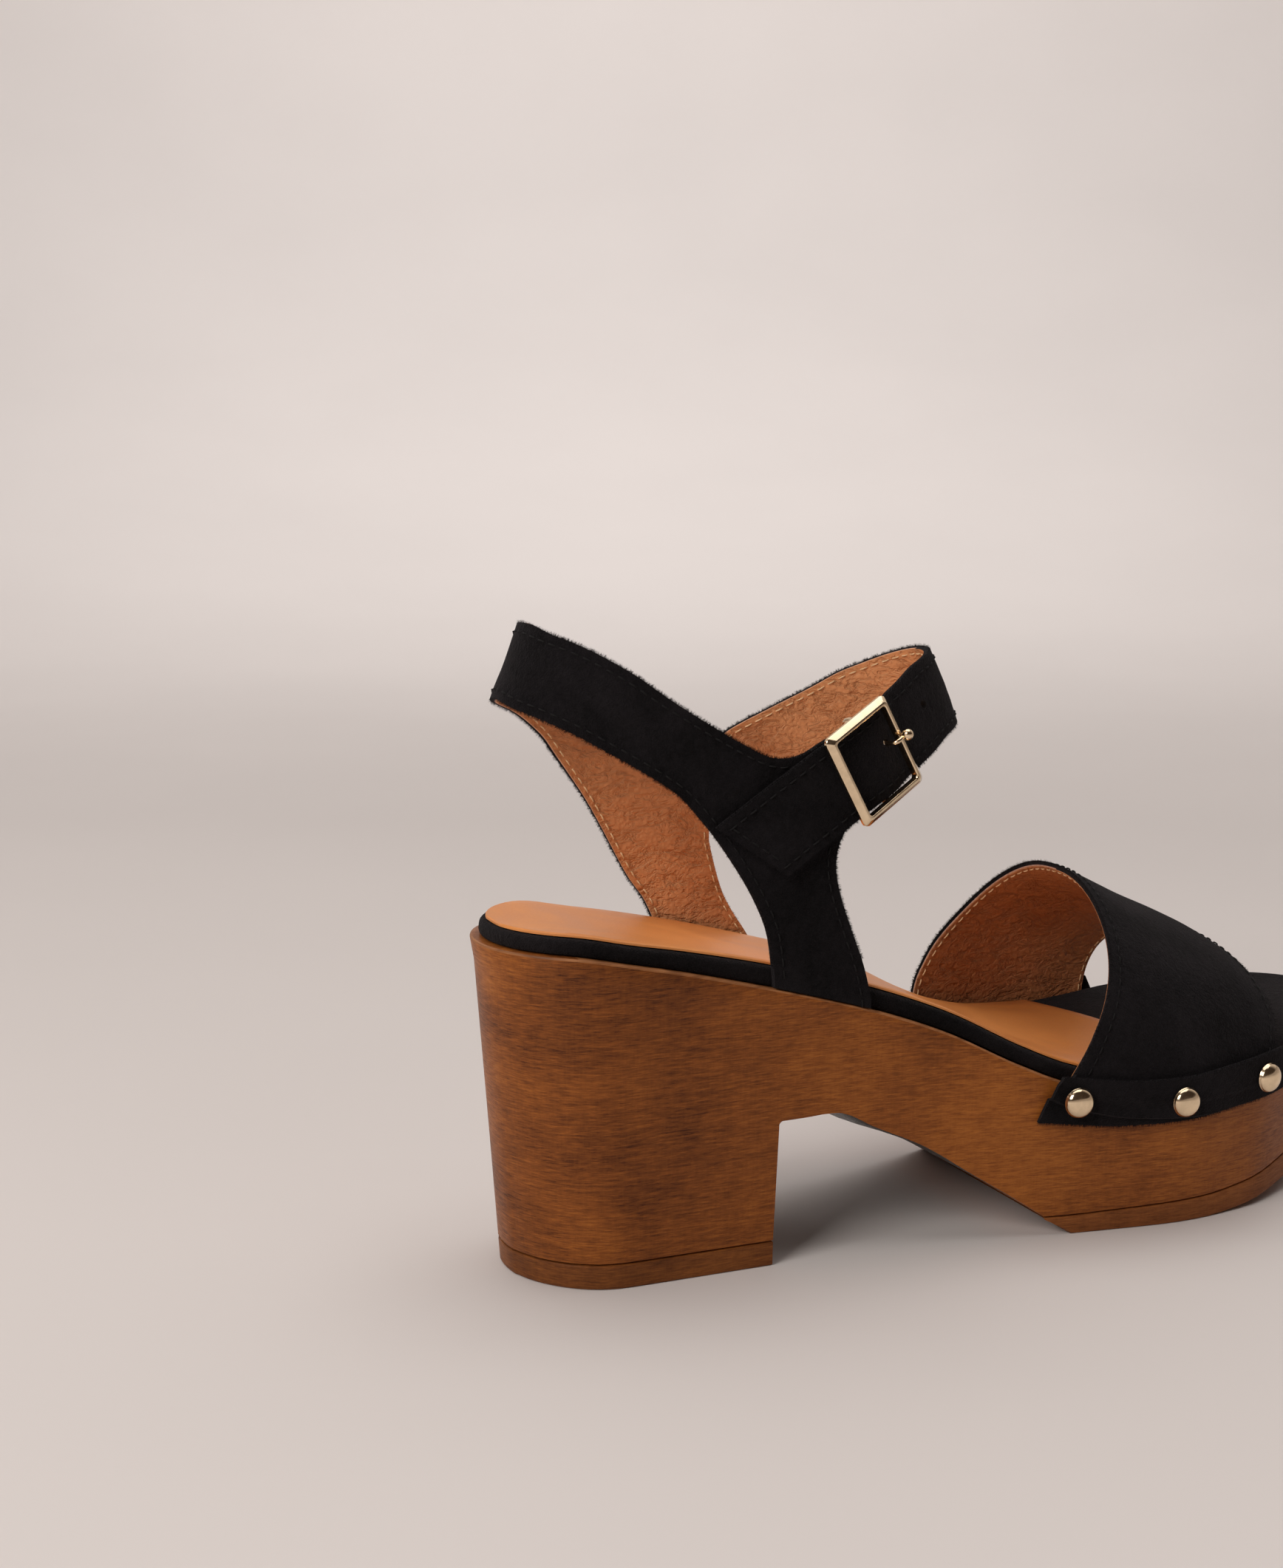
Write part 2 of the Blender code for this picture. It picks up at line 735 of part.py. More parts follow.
def smooth_run(points, spacing):
    """Evenly spaced points on a smooth line through the given ones."""
    dense = []
    count = len(points)
    for i in range(count - 1):
        before = points[max(i - 1, 0)]
        after = points[min(i + 2, count - 1)]
        a = points[i]
        b = points[i + 1]
        length = (b - a).length
        start = (b - before) * (length / max((b - before).length, 1e-9))
        end = (after - a) * (length / max((after - a).length, 1e-9))
        for k in range(12):
            t = k / 12.0
            dense.append(a * (2 * t ** 3 - 3 * t * t + 1) + start * (t ** 3 - 2 * t * t + t)
                         + b * (3 * t * t - 2 * t ** 3) + end * (t ** 3 - t * t))
    dense.append(points[-1])
    lengths = [0.0]
    for a, b in zip(dense, dense[1:]):
        lengths.append(lengths[-1] + (b - a).length)
    steps = max(1, round(lengths[-1] / spacing))
    run = []
    k = 0
    for i in range(steps + 1):
        goal = lengths[-1] * i / steps
        while k < len(dense) - 2 and lengths[k + 1] < goal:
            k += 1
        span = max(lengths[k + 1] - lengths[k], 1e-12)
        run.append(dense[k].lerp(dense[k + 1], min(1.0, (goal - lengths[k]) / span)))
    return run


def beside(line, width):
    """Line moved sideways by width, to its left as it runs."""
    moved = []
    for i, point in enumerate(line):
        along = line[min(i + 1, len(line) - 1)] - line[max(i - 1, 0)]
        along.normalize()
        moved.append(point + Vector((-along.y, along.x)) * width)
    return moved


def upper_outline(spacing):
    """Closed flat pattern of the ankle upper, from the outer branch round to its free end."""
    half_heel = HEEL_STRAP / 2.0
    half_strap = ANKLE_STRAP / 2.0
    back = flat(0.0, ANKLE_BASE + ANKLE_HEIGHT * HEEL_STRAP_BACK)
    front = flat(1.0, ANKLE_BASE + ANKLE_HEIGHT * STRAP_FRONT)
    heel = [side_point(*row, "outer") for row in reversed(HEEL_STRAP_OUTER)] + [back]
    heel += [side_point(*row, "inner") for row in HEEL_STRAP_INNER]
    strap = [side_point(*row, "inner") for row in STRAP_INNER] + [front]
    strap += [side_point(*row, "past") for row in STRAP_OUTER + (FREE_END,)]
    tab = [side_point(*row, "outer") for row in reversed(TAB)]
    heel_top = beside(heel, half_heel)
    heel_low = beside(heel, -half_heel)
    strap_top = beside(strap, half_strap)
    strap_low = beside(strap, -half_strap)
    along = (strap[-1] - strap[-2]).normalized()
    strap_top[-1] += along * FREE_END_SLANT
    strap_low[-1] -= along * FREE_END_SLANT
    tab_top = beside(tab, half_strap * 0.94)
    tab_low = beside(tab, -half_strap * 0.94)
    rear_outer = [side_point(*row, "outer") for row in REAR_OUTER]
    rear_inner = [side_point(*row, "inner") for row in REAR_INNER]
    front_outer = [side_point(*row, "outer") for row in FRONT_OUTER]
    front_inner = [side_point(*row, "inner") for row in FRONT_INNER]
    rear_outer[-1] = on_rim(REAR_OUTER[-1][0], "outer")
    rear_inner[-1] = on_rim(REAR_INNER[-1][0], "inner")
    front_outer[0] = on_rim(FRONT_OUTER[0][0], "outer")
    front_inner[0] = on_rim(FRONT_INNER[0][0], "inner")
    dip_outer = [side_point(*row, "outer") for row in reversed(DIP_OUTER)]
    dip_inner = [side_point(*row, "inner") for row in DIP_INNER]
    runs = (
        tab_top[:2] + dip_outer + heel_top[1:-1] + dip_inner + strap_top[1:],
        [strap_top[-1], strap_low[-1]],
        strap_low[:1:-1] + front_inner[::-1],
        rim_run(FRONT_INNER[0][0], REAR_INNER[-1][0], "inner"),
        rear_inner[::-1] + heel_low[2:-2][::-1] + rear_outer,
        rim_run(REAR_OUTER[-1][0], FRONT_OUTER[0][0], "outer"),
        front_outer + tab_low[:2][::-1],
        [tab_low[0], tab_top[0]],
    )
    loop = []
    for run in runs:
        loop += smooth_run(run, spacing)[:-1]
    return loop


def on_rim(share, turn):
    """Pattern point where the quarter stands on the wood's rim."""
    z = top_height(share) + GAP
    wrap = wrap_at(place_at(share), z)
    return flat({"inner": wrap, "outer": -wrap}[turn], z)


def rim_run(start, end, turn):
    """Foot of a quarter along the wood's rim."""
    return [on_rim(start + (end - start) * i / 4.0, turn) for i in range(5)]


def fill_pattern(loop, hole, spacing):
    """Points and triangles of a flat pattern with one hole."""
    points = [p.copy() for p in loop + hole]
    edges = []
    for start, count in ((0, len(loop)), (len(loop), len(hole))):
        edges += [(start + i, start + (i + 1) % count) for i in range(count)]
    low = Vector((min(p.x for p in loop), min(p.y for p in loop)))
    high = Vector((max(p.x for p in loop), max(p.y for p in loop)))
    rise = spacing * 0.87
    border = list(points)
    for row in range(int((high.y - low.y) / rise) + 1):
        for column in range(int((high.x - low.x) / spacing) + 1):
            p = low + Vector(((column + 0.5 * (row % 2)) * spacing, row * rise))
            if inside(p, loop) and min((p - q).length for q in border) > spacing * 0.55:
                points.append(p)
    result = delaunay_2d_cdt(points, edges, [], 0, 1e-7)
    places = result[0]
    faces = []
    for face in result[2]:
        middle = sum((places[i] for i in face), Vector((0.0, 0.0))) / len(face)
        if inside(middle, loop) and not inside(middle, hole):
            faces.append(face)
    return places, faces


def inside(point, loop):
    """Whether a point lies inside a closed loop."""
    hit = False
    for i, a in enumerate(loop):
        b = loop[i - 1]
        if (a.y > point.y) != (b.y > point.y):
            if point.x < (b.x - a.x) * (point.y - a.y) / (b.y - a.y) + a.x:
                hit = not hit
    return hit


def shell(name, faces, outer, lining):
    """Closed wall between the two faces of a lasted pattern."""
    mesh = bmesh.new()
    outs = [mesh.verts.new(p) for p in outer]
    ins = [mesh.verts.new(p) for p in lining]
    sides = set()
    for face in faces:
        mesh.faces.new([outs[i] for i in face])
        mesh.faces.new([ins[i] for i in reversed(face)])
        sides.update((i, face[(k + 1) % len(face)]) for k, i in enumerate(face))
    for i, j in sides:
        if (j, i) not in sides:
            mesh.faces.new((outs[j], outs[i], ins[i], ins[j]))
    bmesh.ops.delete(mesh, geom=[v for v in mesh.verts if not v.link_faces], context="VERTS")
    return finish_mesh(name, mesh)


def hole_middle():
    """Pattern point where the pin passes through the strap."""
    x = BUCKLE_AT + PIN_HOLE_AT
    middle = flat(past(x), strap_level(x))
    behind = flat(past(BUCKLE_AT), strap_level(BUCKLE_AT))
    along = (behind - middle).normalized()
    return middle + Vector((-along.y, along.x)) * PIN_RISE


def build_ankle_upper(spacing=0.0048):
    """Quarters, heel strap and long ankle strap as one lasted wall."""
    loop = upper_outline(spacing)
    hole = [hole_middle() + Vector((math.cos(a), math.sin(a))) * STRAP_HOLE / 2.0
            for a in (math.pi * i / 4.0 for i in range(8))]
    places, faces = fill_pattern(loop, hole, spacing * 1.15)
    outer = [strap_face(p.x, p.y, 0.0) for p in places]
    lining = [strap_face(p.x, p.y, 1.0) for p in places]
    return shell("ankle_upper", faces, outer, lining)


def girth_point(x, turn, out):
    """Point of the toe strap; turn runs from 0 at the outer side to 1 at the inner side.

    out is measured from the outer face, so the lining lies at minus the wall.
    """
    share = share_at(x)
    half = BALL_WIDTH / 2.0
    centre = read(PLAN, 1, share) * half
    reach = read(PLAN, 2, share) * half * end_round(share) + GAP + TOE_STRAP_WALL + out
    rise = INSTEP_HEIGHT * read(INSTEP, 1, share) + out
    angle = math.pi * turn
    base = top_height(share)
    lift = max(math.sin(angle), 0.0) ** (2.0 / GIRTH_SQUARENESS)
    y = centre - reach * power(math.cos(angle), 2.0 / GIRTH_SQUARENESS)
    y += TOE_STRAP_SKEW * lift * lift
    return Vector((x, y, base + rise * lift))


def toe_strap_edge(turn, column):
    """Place along the foot of the toe strap's rear or front edge."""
    return TOE_STRAP_BACK + TOE_STRAP_WIDTH * read(TOE_STRAP_EDGES, column, turn)


def build_toe_strap(along=9, around=22):
    """Toe strap: one hollow wall over the foot, its thinned edges lasted on the wood's side."""
    faces = []
    for lining in (False, True):
        grid = []
        for i in range(along + 1):
            row = []
            for j in range(-2, around + 3):
                turn = min(max(j / around, 0.0), 1.0)
                t = i / along
                x = toe_strap_edge(turn, 1) * (1.0 - t) + toe_strap_edge(turn, 2) * t
                if 0 <= j <= around:
                    out = -TOE_STRAP_WALL if lining else 0.0
                    row.append(girth_point(x, turn, out))
                    continue
                beyond = -j if j < 0 else j - around
                side = -1 if j < 0 else 1
                drop = TOE_STRAP_FLAP * (0.35 if beyond == 1 else 1.0)
                reach = GAP if lining else GAP + TOE_STRAP_SKIVE
                row.append(wall(share_at(x), side, top_height(share_at(x)) - drop, reach))
            grid.append(row)
        faces.append(grid)
    return grid_shell("toe_strap", *faces)


def grid_shell(name, outer, inner):
    """Closed wall between two grids of points with the same rows and columns."""
    mesh = bmesh.new()
    a = [[mesh.verts.new(p) for p in row] for row in outer]
    b = [[mesh.verts.new(p) for p in row] for row in inner]
    rows = len(a)
    columns = len(a[0])
    for i in range(rows - 1):
        for j in range(columns - 1):
            mesh.faces.new((a[i][j], a[i + 1][j], a[i + 1][j + 1], a[i][j + 1]))
            mesh.faces.new((b[i][j], b[i][j + 1], b[i + 1][j + 1], b[i + 1][j]))
    for i in range(rows - 1):
        mesh.faces.new((a[i][0], b[i][0], b[i + 1][0], a[i + 1][0]))
        mesh.faces.new((a[i][-1], a[i + 1][-1], b[i + 1][-1], b[i][-1]))
    for j in range(columns - 1):
        mesh.faces.new((a[0][j], a[0][j + 1], b[0][j + 1], b[0][j]))
        mesh.faces.new((a[-1][j], b[-1][j], b[-1][j + 1], a[-1][j + 1]))
    return finish_mesh(name, mesh)


def band_corner(side, t):
    """Place along the foot on a band's upper edge, from its rear to its front corner."""
    turn = 0.0 if side < 0 else 1.0
    rear = toe_strap_edge(turn, 1) - BAND_REACH
    front = toe_strap_edge(turn, 2) + BAND_REACH
    return rear + (front - rear) * t


def band_middle(side, t):
    """Height of a band's middle line."""
    top = top_height(share_at(band_corner(side, t)))
    return top - BAND_HEIGHT * read(BAND_DROP, 1, t)


def build_band(name, side, along=12):
    """Band along the toe strap's edge: it steps out over the strap's thinned edge."""
    over = GAP + TOE_STRAP_SKIVE + GAP
    above = GAP + TOE_STRAP_WALL + GAP
    faces = []
    for lift in (BAND_WALL, 0.0):
        grid = []
        for i in range(along + 1):
            t = i / along
            high_x = band_corner(side, t)
            low_x = high_x + BAND_TIP * (2.0 * t - 1.0)
            low = band_middle(side, t) - BAND_HEIGHT / 2.0
            top = top_height(share_at((high_x + low_x) / 2.0))
            step = max(top - TOE_STRAP_FLAP - 0.0010, low + 0.0003)
            ledge = max(top - TOE_STRAP_FLAP - 0.0003, step + 0.0005)
            fold = max(top - 0.35 * TOE_STRAP_FLAP, ledge + 0.0003)
            levels = ((low, GAP), (step, GAP), (ledge, over), (fold, over),
                      (top, above), (low + BAND_HEIGHT, above))
            row = []
            for z, reach in levels:
                x = low_x + (high_x - low_x) * (z - low) / BAND_HEIGHT
                row.append(wall(share_at(x), side, z, reach + lift))
            grid.append(row)
        faces.append(grid)
    return grid_shell(name, *faces)


def stud_mesh():
    """Domed stud, its flat back on z = 0."""
    mesh = bmesh.new()
    radius = STUD_DIAMETER / 2.0
    rings = []
    for height, reach in ((0.0, 0.90), (0.16, 1.0), (0.52, 0.86), (0.83, 0.54)):
        rings.append([mesh.verts.new((radius * reach * math.cos(a), radius * reach * math.sin(a),
                                      STUD_HEIGHT * height))
                      for a in (2.0 * math.pi * i / 14 for i in range(14))])
    crown = mesh.verts.new((0.0, 0.0, STUD_HEIGHT))
    mesh.faces.new(list(reversed(rings[0])))
    for a, b in zip(rings, rings[1:]):
        for i in range(14):
            j = (i + 1) % 14
            mesh.faces.new((a[i], a[j], b[j], b[i]))
    for i in range(14):
        mesh.faces.new((rings[-1][i], rings[-1][(i + 1) % 14], crown))
    piece = finish_mesh("stud", mesh, 50.0)
    data = piece.data
    bpy.data.objects.remove(piece)
    return data


def frame_matrix(origin, outwards, upwards):
    """Placement with local Z along outwards and local Y near upwards."""
    z = outwards.normalized()
    x = upwards.cross(z).normalized()
    y = z.cross(x)
    return Matrix.Translation(origin) @ Matrix((x, y, z)).transposed().to_4x4()


def build_studs():
    """Studs along both bands."""
    data = stud_mesh()
    pieces = []
    for label, side in (("lateral", -1), ("medial", 1)):
        rear = band_corner(side, 0.0)
        span = band_corner(side, 1.0) - rear
        first = (BAND_REACH + STUD_REAR) / span
        last = 1.0 - (BAND_REACH + STUD_FRONT) / span
        for i in range(STUDS_PER_SIDE):
            t = first + (last - first) * (i / (STUDS_PER_SIDE - 1)) ** STUD_EASE
            share = share_at(band_corner(side, t))
            out = GAP + TOE_STRAP_WALL + GAP + BAND_WALL + GAP
            seat = wall(share, side, band_middle(side, t), out)
            stud = bpy.data.objects.new("stud_%s_%d" % (label, i + 1), data)
            bpy.context.scene.collection.objects.link(stud)
            normal = outward(share, side).to_3d()
            stud.matrix_world = frame_matrix(seat + normal * GAP / 2.0, normal, Vector((0.0, 0.0, 1.0)))
            pieces.append(stud)
    return pieces


def strap_points(depth):
    """Points on a face of the long strap around the buckle."""
    middle = length_of(past(BUCKLE_AT))
    reach = BUCKLE_WIDTH * 0.75
    points = []
    for i in range(33):
        length = middle + reach * (i / 16.0 - 1.0)
        x = last_point(wrap_of(length), strap_level(BUCKLE_AT)).x
        for j in range(9):
            z = strap_level(x) + ANKLE_STRAP * 0.62 * (j / 4.0 - 1.0)
            points.append(strap_face(length, z, depth))
    return points


PLACE = []


def buckle_place():
    """Placement of the buckle: X forward along the strap, Y up across it, Z outwards."""
    if PLACE:
        return PLACE[0]
    ends = []
    for x in (BUCKLE_AT - BUCKLE_WIDTH / 2.0, BUCKLE_AT + BUCKLE_WIDTH / 2.0):
        ends.append(strap_face(length_of(past(x)), strap_level(x), 0.0))
    middle = strap_face(length_of(past(BUCKLE_AT)), strap_level(BUCKLE_AT), 0.0)
    forward = (ends[1] - ends[0]).normalized()
    up = last_normal(past(BUCKLE_AT), strap_level(BUCKLE_AT)).cross(forward).normalized()
    out = forward.cross(up).normalized()
    turn = Matrix((forward, up, out)).transposed().to_4x4()
    middle += up * (((ends[0] + ends[1]) / 2.0 - middle).dot(up) * 0.6)
    place = Matrix.Translation(middle) @ turn
    rise = max(p.z for p in near_bars(place, 0.0))
    PLACE.append(place @ Matrix.Translation((0.0, 0.0, rise + GAP)))
    return PLACE[0]


def near_bars(place, depth):
    """Strap points under the frame's front and rear bars, in the frame's own directions."""
    inverse = place.inverted()
    local = [inverse @ p for p in strap_points(depth)]
    inner = BUCKLE_WIDTH / 2.0 - BUCKLE_BAR - GAP
    outer = BUCKLE_WIDTH / 2.0 + GAP
    return [p for p in local if inner < abs(p.x) < outer and abs(p.y) < ANKLE_STRAP * 0.56]


def under_strap(x):
    """Height of the strap's lining under a place along the frame, in the frame's own directions."""
    inverse = buckle_place().inverted()
    local = [inverse @ p for p in strap_points(1.0)]
    return min(p.z for p in local if abs(p.x - x) < 0.0012 and abs(p.y) < ANKLE_STRAP * 0.56)


def rounded_rectangle(width, height, radius, steps=3):
    """Corner points of a rectangle with round corners, counter-clockwise."""
    points = []
    for sx, sy, start in ((1, 1, 0.0), (-1, 1, 90.0), (-1, -1, 180.0), (1, -1, 270.0)):
        for i in range(steps + 1):
            a = math.radians(start + 90.0 * i / steps)
            points.append(Vector((sx * (width / 2.0 - radius) + radius * math.cos(a),
                                  sy * (height / 2.0 - radius) + radius * math.sin(a))))
    return points


def build_buckle():
    """Bevelled frame with its centre bar dropped below the strap."""
    mesh = bmesh.new()
    loops = []
    profile = ((0.0, 0.0), (0.0, BUCKLE_EDGE), (0.62, BUCKLE_DEPTH), (0.88, BUCKLE_DEPTH),
               (1.0, BUCKLE_DEPTH * 0.8), (1.0, 0.0))
    for share, height in profile:
        inset = share * BUCKLE_BAR
        ring = rounded_rectangle(BUCKLE_WIDTH - 2.0 * inset, BUCKLE_HEIGHT - 2.0 * inset,
                                 0.0016 - 0.0008 * share)
        loops.append([mesh.verts.new((p.x, p.y, height)) for p in ring])
    for a, b in zip(loops, loops[1:] + loops[:1]):
        for i in range(len(a)):
            j = (i + 1) % len(a)
            mesh.faces.new((a[i], a[j], b[j], b[i]))
    frame = finish_mesh("buckle_frame", mesh, 25.0)
    bar = build_centre_bar()
    join = frame.modifiers.new("centre_bar", "BOOLEAN")
    join.operation = "UNION"
    join.solver = "EXACT"
    join.object = bar
    frame.matrix_world = buckle_place()
    bar.matrix_world = buckle_place()
    return frame


def tube(name, path, thickness, sides=8):
    """Closed round rod along a path in one plane."""
    mesh = bmesh.new()
    rings = []
    for i, p in enumerate(path):
        into = (p - path[i - 1]).normalized() if i else None
        away = (path[i + 1] - p).normalized() if i < len(path) - 1 else None
        along = ((into or away) + (away or into)).normalized()
        stretch = 1.0 if not (into and away) else 1.0 / max(into.dot(along), 0.5)
        plane = (path[-1] - path[0]).cross(path[len(path) // 2] - path[0])
        side = plane.normalized()
        other = along.cross(side)
        ring = []
        for k in range(sides):
            a = 2.0 * math.pi * (k + 0.5) / sides
            offset = side * math.cos(a) + other * math.sin(a) * stretch
            ring.append(mesh.verts.new(p + offset * thickness / 2.0))
        rings.append(ring)
    for a, b in zip(rings, rings[1:]):
        for i in range(sides):
            j = (i + 1) % sides
            mesh.faces.new((a[i], a[j], b[j], b[i]))
    mesh.faces.new(rings[0])
    mesh.faces.new(rings[-1])
    return finish_mesh(name, mesh, 50.0)


def centre_bar_height():
    """Height of the centre bar's middle, in the frame's own directions."""
    return under_strap(0.0) - GAP - CENTRE_BAR / 2.0


def build_centre_bar():
    """Guide for the frame: the bar that the branch is folded round, with its two raised ends."""
    end = BUCKLE_HEIGHT / 2.0 - BUCKLE_BAR * 0.5
    drop = centre_bar_height()
    path = [Vector((0.0, -end, BUCKLE_DEPTH * 0.4)), Vector((0.0, -end, drop)),
            Vector((0.0, end, drop)), Vector((0.0, end, BUCKLE_DEPTH * 0.4))]
    bar = tube("centre_bar_guide", path, CENTRE_BAR)
    bar.hide_render = True
    bar.display_type = "WIRE"
    return bar


def build_pin():
    """Pin from the centre bar up through the strap's hole, its rolled tip on the front bar."""
    hole = hole_middle()
    through = buckle_place().inverted() @ strap_face(hole.x, hole.y, 0.0)
    start = CENTRE_BAR / 2.0 + GAP + 0.0004
    clear = GAP + PIN / 2.0 + 0.0002
    low_start = min(under_strap(start), centre_bar_height() + CENTRE_BAR / 2.0) - clear
    low_hole = under_strap(through.x) - clear
    y = through.y
    tip = BUCKLE_WIDTH / 2.0 - BUCKLE_BAR * 0.45
    high = BUCKLE_DEPTH + GAP + PIN / 2.0
    path = [Vector((start, y, low_start)), Vector((through.x - 0.0001, y, low_hole)),
            Vector((through.x, y, high)), Vector((tip, y, high))]
    pin = tube("buckle_pin", path, PIN)
    ball = tip_guide()
    ball.matrix_world = Matrix.Translation((tip, y, BUCKLE_DEPTH + GAP + PIN_TIP / 2.0))
    join = pin.modifiers.new("rolled_tip", "BOOLEAN")
    join.operation = "UNION"
    join.solver = "EXACT"
    join.object = ball
    pin.matrix_world = buckle_place()
    ball.matrix_world = buckle_place() @ ball.matrix_world
    return pin


def tip_guide():
    """Guide for the pin's rolled tip."""
    mesh = bmesh.new()
    bmesh.ops.create_uvsphere(mesh, u_segments=12, v_segments=8, radius=PIN_TIP / 2.0)
    ball = finish_mesh("pin_tip_guide", mesh, 60.0)
    ball.hide_render = True
    ball.display_type = "WIRE"
    return ball


def main():
    """Build the sandal."""
    for old in list(bpy.data.objects):
        bpy.data.objects.remove(old)
    wood = material("wood", (0.22, 0.085, 0.028), 0.42)
    lift = material("top_lift_wood", (0.17, 0.062, 0.022), 0.48)
    tread = material("tread_rubber", (0.15, 0.058, 0.022), 0.55)
    suede = material("black_suede", (0.012, 0.011, 0.012), 0.95)
    wrap = material("footbed_suede", (0.014, 0.012, 0.013), 0.95)
    tan = material("tan_leather", (0.46, 0.21, 0.085), 0.55)
    gold = material("pale_gold", (0.80, 0.66, 0.45), 0.22, 1.0)
    sandal = bpy.data.objects.new("sandal", None)
    bpy.context.scene.collection.objects.link(sandal)
    pieces = [
        (build_sole(), wood),
        (build_top_lift(), lift),
        (build_tread(), tread),
        (build_footbed(), wrap),
        (build_sock(), tan),
        (build_toe_strap(), suede),
        (build_band("toe_band_lateral", -1), suede),
        (build_band("toe_band_medial", 1), suede),
        (build_ankle_upper(), suede),
        (build_buckle(), gold),
        (build_pin(), gold),
    ]
    pieces += [(stud, gold) for stud in build_studs()]
    for piece, finish in pieces:
        if not piece.data.materials:
            piece.data.materials.append(finish)
        piece.parent = sandal


main()
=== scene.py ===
"""Right-foot clog sandal: stained wood, napped suede, tan leather and pale gold metal.

Metres. +X points to the toe, +Y to the inner side of the foot, +Z up.
"""

import logging
import math
import random
from collections.abc import Callable
from dataclasses import dataclass, field
from enum import Enum

import bmesh
import bpy
from mathutils import Matrix, Vector
from mathutils.geometry import delaunay_2d_cdt


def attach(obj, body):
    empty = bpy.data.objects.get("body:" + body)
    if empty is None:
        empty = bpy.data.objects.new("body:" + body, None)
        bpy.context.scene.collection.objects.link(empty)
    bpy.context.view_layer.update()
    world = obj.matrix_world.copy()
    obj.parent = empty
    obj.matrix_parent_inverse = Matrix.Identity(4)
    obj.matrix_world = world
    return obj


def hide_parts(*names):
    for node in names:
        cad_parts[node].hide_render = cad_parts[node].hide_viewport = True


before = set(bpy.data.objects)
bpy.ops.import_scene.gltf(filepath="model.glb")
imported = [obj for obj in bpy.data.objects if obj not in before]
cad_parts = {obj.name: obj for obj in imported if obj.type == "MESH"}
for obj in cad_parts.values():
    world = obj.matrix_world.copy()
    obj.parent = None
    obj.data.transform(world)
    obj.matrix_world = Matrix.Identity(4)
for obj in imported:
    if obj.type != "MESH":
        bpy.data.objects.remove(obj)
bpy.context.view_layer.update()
LOG = logging.getLogger("clog_sandal")

Table = tuple[tuple[float, ...], ...]
Colour = tuple[float, float, float]
Path = list[tuple[Vector, Vector]]
GAP = 0.0003
WALL_DEPTHS = (0.0, 0.66, 0.82, 1.0)
CUT_ROUND = 0.00028


class Side(Enum):
    """Side of the foot."""

    OUTER = -1
    INNER = 1


class Turn(Enum):
    """Where a point in side view lies round the ankle."""

    INNER = "inner"
    OUTER = "outer"
    PAST = "past the front"


def slopes(xs: list[float], ys: list[float]) -> list[float]:
    """Slopes of a smooth line through points that never overshoots them.

    Args:
        xs: places of the points.
        ys: values of the points.

    Returns:
        One slope per point.
    """
    steps = [(ys[i + 1] - ys[i]) / (xs[i + 1] - xs[i]) for i in range(len(xs) - 1)]
    inner = [0.0 if a * b <= 0.0 else 2.0 * a * b / (a + b) for a, b in zip(steps, steps[1:])]
    return [steps[0]] + inner + [steps[-1]]


def read(table: Table, column: int, share: float) -> float:
    """Value of a table's column at a share, on a smooth line through its rows.

    Args:
        table: rows that start with their share.
        column: column to read.
        share: place in the table.

    Returns:
        The value there.
    """
    xs = [row[0] for row in table]
    ys = [row[column] for row in table]
    share = min(max(share, xs[0]), xs[-1])
    i = min(max(sum(1 for x in xs if x <= share) - 1, 0), len(xs) - 2)
    span = xs[i + 1] - xs[i]
    t = (share - xs[i]) / span
    m = slopes(xs, ys)
    rest = 1.0 - t
    return (ys[i] * (1.0 + 2.0 * t) * rest * rest + m[i] * span * t * rest * rest
            + ys[i + 1] * t * t * (3.0 - 2.0 * t) - m[i + 1] * span * t * t * rest)


def ramp(value: float, start: float, end: float) -> float:
    """Soft step from 0 at start to 1 at end."""
    t = min(max((value - start) / (end - start), 0.0), 1.0)
    return t * t * (3.0 - 2.0 * t)


def power(value: float, exponent: float) -> float:
    """Power that keeps the sign."""
    return math.copysign(abs(value) ** exponent, value)


def smooth_run(points: list[Vector], spacing: float) -> list[Vector]:
    """Evenly spaced points on a smooth line.

    Args:
        points: points that the line passes through.
        spacing: distance between the new points.

    Returns:
        The new points, both ends included.
    """
    dense: list[Vector] = []
    count = len(points)
    for i in range(count - 1):
        before, a, b = points[max(i - 1, 0)], points[i], points[i + 1]
        after = points[min(i + 2, count - 1)]
        length = (b - a).length
        start = (b - before) * (length / max((b - before).length, 1e-9))
        end = (after - a) * (length / max((after - a).length, 1e-9))
        for k in range(12):
            t = k / 12.0
            dense.append(a * (2 * t ** 3 - 3 * t * t + 1) + start * (t ** 3 - 2 * t * t + t)
                         + b * (3 * t * t - 2 * t ** 3) + end * (t ** 3 - t * t))
    dense.append(points[-1])
    lengths = [0.0]
    for a, b in zip(dense, dense[1:]):
        lengths.append(lengths[-1] + (b - a).length)
    steps = max(1, round(lengths[-1] / spacing))
    run: list[Vector] = []
    k = 0
    for i in range(steps + 1):
        goal = lengths[-1] * i / steps
        while k < len(dense) - 2 and lengths[k + 1] < goal:
            k += 1
        span = max(lengths[k + 1] - lengths[k], 1e-12)
        run.append(dense[k].lerp(dense[k + 1], min(1.0, (goal - lengths[k]) / span)))
    return run


def beside(line: list[Vector], width: float) -> list[Vector]:
    """Line moved sideways, to its left as it runs.

    Args:
        line: points in the flat pattern.
        width: how far it moves.

    Returns:
        The moved points.
    """
    moved: list[Vector] = []
    for i, point in enumerate(line):
        along = line[min(i + 1, len(line) - 1)] - line[max(i - 1, 0)]
        along.normalize()
        moved.append(point + Vector((-along.y, along.x)) * width)
    return moved


